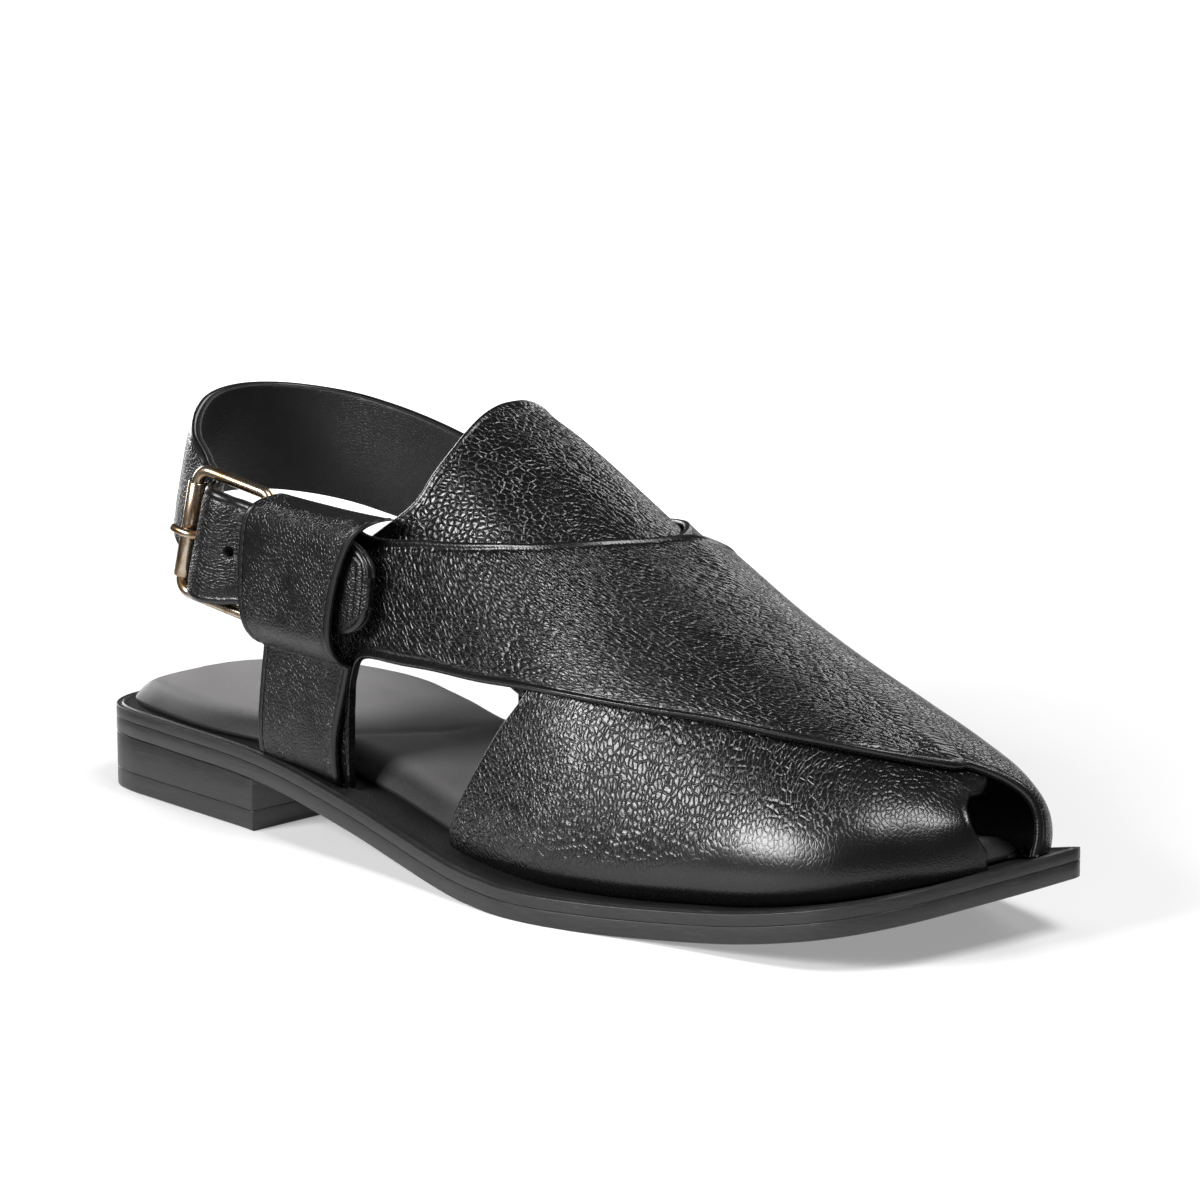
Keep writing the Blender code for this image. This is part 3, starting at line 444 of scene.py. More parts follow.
def fine_leather(name, gloss=0.28, depth=0.13):
    """Strap leather: close low grain, long pulled wrinkles, smooth along its edges."""
    look = Look(name, (0.0045, 0.0045, 0.0048), gloss, Specular_IOR_Level=0.5)
    flat = look.layout()
    drift = look.noise(flat, 240.0, 2.0, out="Color")
    bent = look.bent(flat, drift, 1.6 * MM)
    grain = look.cells(look.mapped(bent, scale=(0.8, 1.0, 1.0), turn=(0.0, 0.0, 0.6)), 1150.0)
    crease = grain.step(0.0, 0.24)
    patch = look.noise(flat, 60.0, 2.0).step(0.35, 0.65)
    pulled = look.noise(look.mapped(bent, scale=(1.0, 0.30, 1.0)), 950.0, 4.0)
    plump = look.attribute("plump")
    look.relief((crease * (patch * 0.5 + 0.3) + pulled * 0.9) * plump, depth * MM)
    look.rough(pulled * 0.16 + patch * 0.05 + gloss - 0.06)
    # colour darker in the grain creases and in the troughs of the pulled wrinkles: painted shade
    look.colour(look.blended(crease * 0.6 + pulled * 0.4, (0.0016, 0.0016, 0.0018), (0.0040, 0.0039, 0.0042)))
    return look.material


def lining_leather(name, shade=0.009, gloss=0.46):
    """Matte lining with fine pores."""
    look = Look(name, (shade, shade, shade), gloss, Specular_IOR_Level=0.4)
    where = look.place()
    pores = look.cells(where, 1300.0, flat=False).step(0.0, 0.25)
    cloud = look.noise(where, 60.0, 4.0)
    look.relief(pores * 0.6 + look.noise(where, 900.0, 3.0) * 0.9, 0.10 * MM)
    look.rough(cloud * 0.16 + gloss - 0.08)
    # tone varies at random with the cloud, and darkens in the pore lines as painted shade
    tone = cloud * 0.8 + pores * 0.2
    low = shade * 0.72
    high = shade * 1.30
    look.colour(look.blended(tone, (low, low, low), (high, high * 0.98, high)))
    return look.material


def footbed_leather(name):
    """Padded insole cover: soft matte leather, darkened towards its rim by painted shade."""
    look = Look(name, (0.13, 0.125, 0.13), 0.60, Specular_IOR_Level=0.35)
    where = look.place()
    pores = look.cells(where, 1150.0, flat=False).step(0.0, 0.22)
    cloud = look.noise(where, 38.0, 4.0, warp=0.3)
    wrinkle = look.noise(look.mapped(where, scale=(1.0, 0.35, 1.0)), 420.0, 3.0)
    look.relief(pores * 0.45 + wrinkle * 0.55, 0.07 * MM)
    look.rough(cloud * 0.18 + 0.42)
    # random cloudy tone of the cover, darker in its pore lines as painted shade
    cover_tone = look.blended(cloud * 0.75 + pores * 0.15, (0.150, 0.146, 0.148), (0.250, 0.242, 0.246))
    # near black towards the rim, lighter in the middle: painted shade on the turned-down rim
    look.colour(look.blended(look.attribute("plump"), (0.022, 0.021, 0.022), cover_tone))
    return look.material


def painted_edge(name, shade=0.016, gloss=0.40):
    """Painted and burnished sole edge, with fine lengthwise scratches."""
    look = Look(name, (shade, shade, shade), gloss, Specular_IOR_Level=0.45)
    where = look.place()
    lengthwise = look.mapped(where, scale=(0.06, 0.06, 1.0))
    brushed = look.noise(lengthwise, 2600.0, 3.0)
    scratch = look.noise(look.mapped(where, scale=(0.10, 0.10, 1.0), turn=(0.05, 0.0, 0.3)), 1500.0, 2.0)
    mark = scratch.step(0.66, 0.74)
    cloud = look.noise(where, 75.0, 4.0)
    speck = look.noise(where, 1900.0, 2.0).step(0.70, 0.76)
    look.relief(brushed * 0.6 + mark * 0.8 + speck * 0.8, 0.05 * MM)
    look.rough(cloud * 0.20 + brushed * 0.10 + mark * 0.12 + gloss - 0.13)
    tone = (brushed.step(0.38, 0.66) * 0.45 + cloud * 0.35 + mark * 0.4 + speck * 0.7).least(1.0)
    low = shade * 0.62
    high = shade * 1.9
    look.colour(look.blended(tone, (low, low, low), (high, high, high)))
    return look.material


def aged_brass(name):
    """Plated brass, warmer in random patches where the plating wears, with small scratches."""
    look = Look(name, (0.50, 0.41, 0.29), 0.26, Metallic=1.0)
    where = look.place()
    cloud = look.noise(where, 260.0, 4.0)
    scuff = look.noise(look.mapped(where, scale=(1.0, 1.0, 0.25)), 1500.0, 3.0)
    look.relief(scuff, 0.03 * MM)
    look.rough(cloud * 0.22 + scuff * 0.12 + 0.10)
    look.colour(look.blended(cloud.step(0.38, 0.64), (0.46, 0.39, 0.31), (0.30, 0.19, 0.10)))
    return look.material


def waxed_thread(name):
    look = Look(name, (0.012, 0.012, 0.013), 0.50, Specular_IOR_Level=0.5)
    twist = look.node("ShaderNodeTexWave", {"wave_type": "BANDS", "bands_direction": "DIAGONAL"},
                      {"Vector": look.place(), "Scale": 900.0, "Distortion": 1.0}).out("Fac")
    look.relief(twist, 0.05 * MM)
    look.rough(twist * 0.15 + 0.42)
    return look.material


def placed(name, data):
    """New object in the scene."""
    made = bpy.data.objects.new(name, data)
    bpy.context.scene.collection.objects.link(made)
    return made


def kept_shape(piece):
    """The piece keeps what its modifiers make."""
    ready = piece.evaluated_get(bpy.context.evaluated_depsgraph_get())
    plain = bpy.data.meshes.new_from_object(ready)
    piece.modifiers.clear()
    piece.data = plain


def run_along(points):
    """Length along a line of points, from its start."""
    return np.concatenate([[0.0], np.cumsum(np.linalg.norm(np.diff(points, axis=0), axis=1))])


def add_piece(name, points, faces, looks, which=None, grain=None, plump=None):
    """One closed mesh about the frame's middle, with its grain layout and its plumpness."""
    points = np.array(points, dtype=float).reshape(-1, 3)
    points[:, 0] -= MIDDLE_X
    points[:, 1] -= MIDDLE_Y
    mesh = bpy.data.meshes.new(name)
    mesh.from_pydata(points.tolist(), [], faces)
    for look in looks:
        mesh.materials.append(look)
    if which is not None:
        mesh.polygons.foreach_set("material_index", np.asarray(which, dtype=np.int32))
    if grain is not None:
        layer = mesh.uv_layers.new(name="grain")
        corner = np.zeros(len(mesh.loops), dtype=np.int32)
        mesh.loops.foreach_get("vertex_index", corner)
        layer.data.foreach_set("uv", np.asarray(grain, dtype=np.float32).reshape(-1, 2)[corner].ravel())
    if plump is not None:
        field = mesh.attributes.new("plump", 'FLOAT', 'POINT')
        field.data.foreach_set("value", np.asarray(plump, dtype=np.float32).ravel())
    mesh.shade_smooth()
    mesh.update()
    return placed(name, mesh)


def turned_out(points, faces):
    """Faces turned over when the volume they hold is negative."""
    points = np.asarray(points).reshape(-1, 3)
    quads = np.array([(f[0], f[1], f[2], f[-1]) for f in faces])
    a, b, c, d = (points[quads[:, k]] for k in range(4))
    volume = np.sum(a * np.cross(b, c)) + np.sum(a * np.cross(c, d))
    return faces if volume > 0.0 else [tuple(reversed(f)) for f in faces]


def ring_faces(count, size, loop=False):
    """Quads between rings, with paired end caps on an open run."""
    r, k = np.meshgrid(np.arange(count if loop else count - 1), np.arange(size), indexing="ij")
    r = r.ravel()
    k = k.ravel()
    n = (k + 1) % size
    f = (r + 1) % count
    quads = np.column_stack([r * size + k, r * size + n, f * size + n, f * size + k]).tolist()
    side = [tuple(q) for q in quads]
    caps = []
    if not loop:
        for start in (0, (count - 1) * size):
            for k in range(size // 2 - 1):
                quad = (start + k, start + k + 1, start + size - 2 - k, start + size - 1 - k)
                caps.append(quad[::-1] if start == 0 else quad)
    return side + caps, len(side)


def ring_piece(name, rings, looks, loop=False, grain=None, plump=None, split=None):
    """Closed piece from rings; split gives the material of each place round the ring."""
    rings = np.asarray(rings, dtype=float)
    count, size = rings.shape[:2]
    faces, sides = ring_faces(count, size, loop)
    which = None
    if split is not None:
        rounds = count if loop else count - 1
        which = np.concatenate([np.tile(np.asarray(split), rounds), np.zeros(len(faces) - sides, dtype=int)])
    return add_piece(name, rings, turned_out(rings, faces), looks, which, grain, plump)


EDGE_STEPS = np.array([0.0, 0.10, 0.28, 0.55, 0.85, 1.15, 1.45, 1.75, 2.05, 2.35, 2.7, 3.2, 4.0, 5.2]) * MM


def shares_across(width, count):
    """Shares across a sheet, close together by both edges."""
    width = np.asarray(width, dtype=float)[:, None]
    squeeze = np.minimum(1.0, 0.42 * width / EDGE_STEPS[-1])
    edge = EDGE_STEPS[None, :] * squeeze / width
    inner = np.linspace(0.0, 1.0, count - 2 * len(EDGE_STEPS) + 2)[None, 1:-1]
    middle = edge[:, -1:] + inner * (1.0 - 2.0 * edge[:, -1:])
    return np.concatenate([edge, middle, 1.0 - edge[:, ::-1]], axis=1)


def rounded(distance, thickness):
    """Half the thickness of a sheet at a distance from its round edge."""
    radius = thickness / 2.0
    t = 1.0 - np.clip(distance / radius, 0.0, 1.0)
    return radius * np.sqrt(np.maximum(1.0 - t * t, 0.015))


def leather_sheet(name, station, turn, low, thickness, looks, shape):
    """Leather on the last; shape gives extra lift and plumpness from distances along and to both edges."""
    ground = skin(station, turn, low + thickness)
    steps = np.linalg.norm(np.diff(ground, axis=1), axis=2)
    run = np.concatenate([np.zeros((len(ground), 1)), np.cumsum(steps, axis=1)], axis=1)
    rear = run
    front = run[:, -1:] - run
    middle = ground[:, ground.shape[1] // 2]
    along = run_along(middle)[:, None] + 0.0 * run
    across = run - run[:, -1:] / 2.0
    extra, plump = shape(along, rear, front, ground)
    half = rounded(np.minimum(rear, front), thickness)
    centre = low + thickness / 2.0
    outer = skin(station, turn, centre + half + extra)
    inner = skin(station, turn, centre - half + 0.35 * np.minimum(extra, 0.0))
    rings = np.concatenate([outer, inner[:, ::-1]], axis=1)
    grain = np.concatenate([np.stack([along, across], -1), np.stack([along, across], -1)[:, ::-1]], axis=1)
    soft = np.concatenate([plump, plump[:, ::-1]], axis=1)
    size = outer.shape[1]
    split = [0] * (size + 2) + [1] * (size - 5) + [0] * 3
    return ring_piece(name, rings, looks, grain=grain, plump=soft, split=split), outer


def strap_grid(table, count, places):
    rows = rows_along(table, count)
    rough_rear = last_point(rows[:, 0], rows[:, 1])
    rough_front = last_point(rows[:, 2], rows[:, 3])
    width = np.maximum(np.linalg.norm(rough_rear - rough_front, axis=1), 4.0 * MM)
    place = shares_across(width, places)
    station = rows[:, 0:1] * (1.0 - place) + rows[:, 2:3] * place
    turn = rows[:, 1:2] * (1.0 - place) + rows[:, 3:4] * place
    return rows, station, turn


def stay_grid(table, far, count, places):
    rows = rows_along(table, count)
    width = (rows[:, 2] - rows[:, 1]) * SOLE_LENGTH
    place = shares_across(width, places)
    station = rows[:, 1:2] * (1.0 - place) + rows[:, 2:3] * place
    drop = LOOP_DROP * (station - rows[0, 1]) * rows[:, 0:1]
    height = np.maximum(rows[:, 0:1] - drop, 0.0) * INSTEP_HEIGHT
    turn = turn_at(station, height, far)
    turn[0, :] = 1.0 if far else 0.0
    return rows, station, turn


def side_points(table, heel_count, front_count):
    """Points along one side of the sole, evenly spaced under the heel and evenly before it."""
    fine = rows_along(table, 1600)
    xy = np.column_stack([fine[:, 0] * SOLE_LENGTH, fine[:, 1] * BALL_WIDTH])
    run = run_along(xy)
    breast = np.interp(HEEL_LENGTH, xy[:, 0], run)
    rear = np.linspace(0.0, breast, heel_count)
    front = np.linspace(breast, run[-1], front_count + 1)[1:]
    places = np.concatenate([rear, front])
    return np.column_stack([np.interp(places, run, xy[:, k]) for k in (0, 1)])


def outline(heel_only=False, heel_points=110, front_points=250):
    near = side_points(NEAR_EDGE, heel_points, 0 if heel_only else front_points)
    far = side_points(FAR_EDGE, heel_points - 1, 0 if heel_only else front_points + 1)
    return np.concatenate([near[1:], far[::-1][(0 if heel_only else 1):]])


def inset(ring, distance):
    """Move each point of a ring inwards by its distance."""
    one = unit(ring - np.roll(ring, 3, axis=0))
    two = unit(np.roll(ring, -3, axis=0) - ring)
    mean = unit(np.column_stack([-one[:, 1] - two[:, 1], one[:, 0] + two[:, 0]]))
    return ring + mean * np.broadcast_to(distance, (len(ring),))[:, None]


def layer(name, base, levels, looks, bands=None):
    """Sole layer from levels of its edge: inset, height, and 1 where it follows the top of the sole.

    The lowest level stays on the floor. Each band between two levels has a material."""
    rings = []
    for distance, offset, follows in levels:
        ring = inset(base, distance * MM)
        height = sole_top(ring[:, 0]) * follows + offset
        rings.append(np.column_stack([ring, height if rings else np.maximum(height, 0.0)]))
    made = ring_piece(name, rings, looks)
    if bands:
        size = len(base)
        which = np.repeat(bands, size).tolist()
        which += [0] * (size // 2 - 1) + [bands[-1]] * (len(made.data.polygons) - len(which) - size // 2 + 1)
        made.data.polygons.foreach_set("material_index", np.asarray(which, dtype=np.int32))
    return made


def above(datum, *rows):
    """Levels that follow the sole's top, from insets and heights over a datum in millimetres."""
    return [(distance, datum + height * MM, 1.0) for distance, height in rows]


def level(*rows):
    """Level cuts at heights over the floor in millimetres."""
    return [(distance, height * MM, 0.0) for distance, height in rows]


def rod(path, radius, sides=20, loop=False, side_hint=(0.0, 0.0, 1.0)):
    """Rings of a round bar along a path."""
    path = np.asarray(path, dtype=float)
    if loop:
        tangent = unit(np.roll(path, -1, axis=0) - np.roll(path, 1, axis=0))
    else:
        tangent = unit(np.gradient(path, axis=0))
    hint = np.broadcast_to(np.asarray(side_hint, dtype=float), path.shape)
    first = unit(np.cross(tangent, hint))
    second = np.cross(tangent, first)
    radius = np.broadcast_to(np.asarray(radius, dtype=float), (len(path),))[:, None, None]
    angles = np.arange(sides) * 2.0 * np.pi / sides
    around = np.cos(angles)[None, :, None] * first[:, None] + np.sin(angles)[None, :, None] * second[:, None]
    return path[:, None] + radius * around


def fitted(piece, slot, stands_for_solid=True):
    """The piece rides on the body; when it stands for a solid, the solid named by slot is hidden."""
    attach(piece, "root")
    if stands_for_solid:
        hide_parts(slot)


def stitches(name, paths, look, slot, pitch=2.7 * MM, length=2.1 * MM, thread=0.26 * MM):
    """Rows of stitches along paths on the leather."""
    points = []
    edges = []
    for path in paths:
        start = len(points)
        points.extend((np.asarray(path) - [MIDDLE_X, MIDDLE_Y, 0.0]).tolist())
        edges.extend((k, k + 1) for k in range(start, len(points) - 1))
    mesh = bpy.data.meshes.new(name)
    mesh.from_pydata(points, edges, [])
    made = placed(name, mesh)
    tree = bpy.data.node_groups.new(name + "_rows", "GeometryNodeTree")
    tree.interface.new_socket(name="Path", in_out="INPUT", socket_type="NodeSocketGeometry")
    sizes = {"Stitch Pitch": pitch, "Stitch Length": length, "Thread Radius": thread}
    sockets = {}
    for label in sizes:
        sockets[label] = tree.interface.new_socket(name=label, in_out="INPUT", socket_type="NodeSocketFloat")
    tree.interface.new_socket(name="Stitches", in_out="OUTPUT", socket_type="NodeSocketGeometry")

    def node(kind, links=None, **settings):
        new = tree.nodes.new(kind)
        for key, value in settings.items():
            setattr(new, key, value)
        for socket, value in (links or {}).items():
            if isinstance(value, bpy.types.NodeSocket):
                tree.links.new(value, new.inputs[socket])
            else:
                new.inputs[socket].default_value = value
        return new

    entry = node("NodeGroupInput")
    wire = node("GeometryNodeMeshToCurve", {0: entry.outputs["Path"]})
    spacing = {"Curve": wire.outputs[0], "Length": entry.outputs["Stitch Pitch"]}
    dots = node("GeometryNodeCurveToPoints", spacing, mode="LENGTH")
    half = node("ShaderNodeMath", {0: entry.outputs["Stitch Length"], 1: 0.5}, operation="MULTIPLY")
    size = node("ShaderNodeCombineXYZ", {"X": half.outputs[0], "Y": entry.outputs["Thread Radius"],
                                         "Z": entry.outputs["Thread Radius"]})
    ball = node("GeometryNodeMeshUVSphere", {"Segments": 8, "Rings": 6, "Radius": 1.0})
    stitch = node("GeometryNodeTransform", {"Geometry": ball.outputs["Mesh"], "Scale": size.outputs[0]})
    turn = node("FunctionNodeAlignRotationToVector", {"Vector": dots.outputs["Tangent"]}, axis="X")
    row = node("GeometryNodeInstanceOnPoints", {"Points": dots.outputs["Points"], "Instance": stitch.outputs[0],
                                                "Rotation": turn.outputs[0]})
    real = node("GeometryNodeRealizeInstances", {"Geometry": row.outputs[0]})
    smooth = node("GeometryNodeSetShadeSmooth", {"Geometry": real.outputs[0]})
    dressed = node("GeometryNodeSetMaterial", {"Geometry": smooth.outputs[0], "Material": look})
    node("NodeGroupOutput", {0: dressed.outputs[0]})
    modifier = made.modifiers.new("rows", 'NODES')
    modifier.node_group = tree
    for label, value in sizes.items():
        modifier[sockets[label].identifier] = value
    kept_shape(made)
    fitted(made, slot, False)


pebble = pebbled_leather("pebbled_grain")
tongue_grain = pebbled_leather("tongue_grain", pebble=1.35, stretch=0.6, slant=-1.1, depth=0.17)
fine = fine_leather("strap_grain")
lining = lining_leather("matte_lining")
footbed = footbed_leather("footbed_cover")
edge_paint = painted_edge("sole_edge_paint", shade=0.012)
heel_paint = painted_edge("heel_paint", shade=0.012, gloss=0.40)
ledge_hide = lining_leather("raw_ledge", shade=0.008, gloss=0.66)
brass = aged_brass("worn_plating")
thread = waxed_thread("black_thread")

# sole: the layers meet in hairlines, and a raw rim runs round the ledge
whole = outline()
under_midsole = -MIDSOLE_THICKNESS
outsole_top = under_midsole - 0.06 * MM
outsole_bottom = under_midsole - GAP - OUTSOLE_THICKNESS
fitted(layer("midsole_edge", whole, above(under_midsole, (0.16, 0.0), (0.04, 0.06), (0.0, 0.20)) + above(
    0.0, (0.0, -0.70), (0.05, -0.45), (0.0, -0.22), (0.10, -0.03), (0.34, 0.0), (0.60, -0.16), (1.5, -0.20),
    (1.8, 0.12), (2.1, 0.24), (2.4, 0.10), (2.7, -0.18), (5.5, -0.18)),
    [edge_paint, ledge_hide], [0] * 8 + [1] + [0] * 3 + [1] * 2), "midsole")
fitted(layer("outsole_edge", whole, above(outsole_bottom, (0.55, 0.0), (0.16, 0.08), (0.0, 0.3)) + above(
    outsole_top, (0.0, -0.18), (0.04, -0.05), (0.18, 0.0)), [edge_paint]), "outsole")
heel = outline(heel_only=True)
fitted(layer("heel_block", heel, level((0.15, 5.46), (0.03, 5.46), (0.0, 5.6)) + above(
    outsole_bottom, (0.0, -0.22), (0.05, -0.10), (0.20, -0.06)), [heel_paint]), "heel_block")
fitted(layer("heel_top_lift", heel, level((0.6, 0.0), (0.16, 0.2), (0.0, 0.55), (0.0, 5.2), (0.04, 5.34),
                                          (0.18, 5.40)), [heel_paint]), "heel_top_lift")

# padded insole
half_count = (len(whole) + 1) // 2
near_inset = curve(INSOLE_NEAR, 1, whole[:half_count, 0] / SOLE_LENGTH) * LEDGE
far_inset = curve(INSOLE_FAR, 1, whole[half_count:, 0] / SOLE_LENGTH) * LEDGE
rim = inset(whole, np.concatenate([near_inset, far_inset]))
keep = np.arange(1, len(rim) // 2 - 1)
near_rim = rim[keep]
far_rim = rim[::-1][keep]
pad_share = shares_across(np.full(len(keep), 0.06), 64)[0][None, :, None]
pad_xy = near_rim[:, None] * (1.0 - pad_share) + far_rim[:, None] * pad_share
loop_rim = np.concatenate([near_rim, far_rim[::-1]])
from_rim = np.full(pad_xy.shape[:2], 1.0)
for k in range(len(loop_rim)):
    a = loop_rim[k - 1]
    b = loop_rim[k]
    d = b - a
    t = np.clip(((pad_xy - a) @ d) / max(float(d @ d), 1e-12), 0.0, 1.0)
    from_rim = np.minimum(from_rim, np.linalg.norm(pad_xy - (a + t[..., None] * d), axis=2))
dome = 1.0 - (1.0 - np.clip(from_rim / 9.0e-3, 0.0, 1.0)) ** 2.6
px = pad_xy[..., 0]
py = pad_xy[..., 1]
swell = 0.25 + 0.75 * dome
hollow = 0.5 * MM * hump(np.hypot((px - 38 * MM) / 1.3, py - 4 * MM), 0.0, 24 * MM)
fold_x = 92 * MM + (py + 20 * MM) * 0.45
fold = 0.55 * MM * hump(px, fold_x, 1.6 * MM) * fade_in(py, -34, -20) * (1.0 - ease(py, 0.0, 20 * MM))
waves = 0.10 * MM * np.sin(px * 210.0 + np.sin(py * 160.0) * 1.4) * np.sin(py * 190.0 + 1.0)
arch = ridge(px, 3.4, 128, 28) * ease(py, 0.0, 26 * MM) * ease(from_rim, 0.0, 2.5 * MM)
pad_z = sole_top(px) + INSOLE_THICKNESS * swell + arch
pad_z = pad_z - (hollow + fold - waves) * fade_in(from_rim, 2, 9)
pad_top = np.concatenate([pad_xy, pad_z[..., None]], axis=2)
pad_low = pad_top.copy()
pad_low[..., 2] = sole_top(px) + GAP * 1.8
# painted shade: the cover darkens from about 8 mm inside its rim to near black at the rim
rim_shade = fade_in(from_rim, 2.0, 8.5)
pad = ring_piece("padded_insole", np.concatenate([pad_top, pad_low[:, ::-1]], axis=1), [footbed],
                 plump=np.concatenate([rim_shade, 0.0 * rim_shade], axis=1))
fitted(pad, "insole")

# under strap
rows, station, turn = strap_grid(UNDER_STRAP, 300, 84)


def under_shape(along, rear, front, ground):
    over_sole = ground[..., 2] - sole_top(ground[..., 0])
    fore = ease(ground[..., 0], 0.150, 0.200)
    reach = 5.0 * MM + 9.0 * MM * ease(ground[..., 0], 0.205, 0.250)
    smooth_band = 1.0 - (1.0 - ease(over_sole / reach, 0.9, 2.1)) * (0.25 + 0.75 * fore)
    plump = smooth_band * fade_in(rear, 0.6, 2.6) * fade_in(front, 1.0, 5.0)
    roll = ridge(rear, 0.10, 0.9, 0.7) + ridge(front, 0.16, 0.9, 0.8)
    dent = ridge(front, 0.10, 2.3, 0.5)
    x, y = ground[..., 0], ground[..., 1]
    waves = 0.10 * MM * np.sin(x * 95.0 + y * 60.0) * fade_in(over_sole, 2, 14)
    return roll - dent + waves - 0.10 * MM, plump


under = leather_sheet("under_strap", station, turn, 0.0 * station, STRAP_THICKNESS, [pebble, lining],
                      under_shape)
fitted(under[0], "upper")

# over strap
rows, station, turn = strap_grid(OVER_STRAP, 340, 84)
over_turn = turn
over_low = (rows[:, 4:5] * (STRAP_THICKNESS + 0.12 * MM)) + 0.0 * station


def over_shape(along, rear, front, ground):
    lower = ease(over_turn, 0.10, 0.16)
    roll = ridge(front, 0.34, 0.85, 0.80) + ridge(rear, 0.20, 0.85, 0.75)
    dent = ridge(front, 0.24, 2.25, 0.50) + ridge(rear, 0.14, 2.15, 0.45)
    lip = 1.3 * MM * hump(over_turn, 0.50, 0.045) * (1.0 - ease(rear, 0.0, 16 * MM))
    x, y = ground[..., 0], ground[..., 1]
    waves = 0.12 * MM * np.sin(x * 80.0 - y * 70.0 + 1.0) * fade_in(front, 2, 14) * fade_in(rear, 2, 12)
    plump = fade_in(front, 1.9, 4.2) * fade_in(rear, 1.6, 3.4) * (0.35 + 0.65 * lower)
    return roll - dent + lip + waves, plump


over = leather_sheet("over_strap", station, turn, over_low, STRAP_THICKNESS, [pebble, lining], over_shape)
fitted(over[0], "upper")

# tongue
turns = np.linspace(TONGUE_EDGE[0][0], TONGUE_EDGE[-1][0], 260)[:, None]
tongue_rear = curve(TONGUE_EDGE, 1, turns)
place = shares_across(((TONGUE_FRONT - tongue_rear) * SOLE_LENGTH)[:, 0], 60)
tongue_station = tongue_rear * (1.0 - place) + TONGUE_FRONT * place
tongue_turn = turns + 0.0 * place


def tongue_shape(along, rear, front, ground):
    roll = ridge(rear, 0.22, 0.9, 0.8) - ridge(rear, 0.15, 2.2, 0.5)
    x, y = ground[..., 0], ground[..., 1]
    waves = -0.08 * MM + 0.08 * MM * np.sin(x * 120.0 + y * 90.0)
    return roll * (1.0 - fade_in(rear, 4, 8)) + waves * fade_in(rear, 1, 8) - 0.10 * MM * ease(
        rear, 10 * MM, 20 * MM), fade_in(rear, 1.2, 3.2)


tongue_low = 0.0 * tongue_station - GAP - TONGUE_THICKNESS
tongue = leather_sheet("tongue_panel", tongue_station, tongue_turn, tongue_low, TONGUE_THICKNESS,
                       [tongue_grain, lining], tongue_shape)
fitted(tongue[0], "tongue")


def stay_shape(along, rear, front, ground):
    roll = 0.20 * MM * (hump(rear, 0.8 * MM, 0.7 * MM) + hump(front, 0.8 * MM, 0.7 * MM))
    seam = 0.28 * MM * (hump(rear, 1.9 * MM, 0.35 * MM) + hump(front, 1.9 * MM, 0.35 * MM))
    swollen = 0.12 * MM * np.sin(along * 260.0) * np.sin(rear * 300.0)
    return roll - seam + swollen * ease(np.minimum(rear, front), 2 * MM, 6 * MM), ease(
        np.minimum(rear, front), 1.0 * MM, 2.8 * MM)


stay_seams = []
for label, table, far in (("near_stay", NEAR_STAY, False), ("far_stay", FAR_STAY, True)):
    rows, station, turn = stay_grid(table, far, 220, 56)
    stay_low = rows[:, 3:4] * STAY_THICKNESS + 0.0 * station
    stay, outer = leather_sheet(label + "_leather", station, turn, stay_low, STAY_THICKNESS, [fine, lining],
                                stay_shape)
    fitted(stay, label)
    for column in (7, -8):
        stay_seams.append(outer[2:-2, column])

# heel strap with its billet
numbered = np.column_stack([np.arange(len(HEEL_STRAP)), HEEL_STRAP])
last_row = len(HEEL_STRAP) - 1
places = np.concatenate([np.linspace(0, last_row - 1, 330), np.linspace(last_row - 1, last_row, 64)[1:]])
band = np.column_stack([curve(numbered, k + 1, places) for k in range(6)])
centre = band[:, 0:3] * BALL_WIDTH
tangent = unit(np.gradient(centre, axis=0))
rise = np.sqrt(np.maximum(1.0 - band[:, 3] ** 2 - band[:, 4] ** 2, 0.0))
width = np.column_stack([band[:, 3], band[:, 4], rise])
width = unit(width - tangent * np.sum(width * tangent, axis=1, keepdims=True))
through = np.cross(tangent, width)
run = run_along(centre)
tip = np.sqrt(np.clip(1.0 - np.clip(1.0 - (run[-1] - run) / BILLET_ROUND, 0.0, 1.0) ** 2, 0.0, 1.0))
half_width = band[:, 5] * BALL_WIDTH * (0.35 + 0.65 * tip)
face = BAND_THICKNESS / 2.0
seat = -0.30 * MM
edge_out = [(1.00, seat + 1.0 * MM), (0.92, seat + 0.55 * MM), (0.70, seat + 0.20 * MM), (0.35, seat)]
edge_in = [(0.70, seat - 0.15 * MM), (0.86, seat - 0.40 * MM), (0.88, seat - 0.75 * MM),
           (0.72, -face + 0.22 * MM)]
across_steps = np.array([0.35, 0.70, 1.05, 1.4, 1.7, 1.95, 2.2, 2.45, 2.7, 3.1, 3.8, 5.0]) * MM
band_rings = []
band_grain = []
band_plump = []
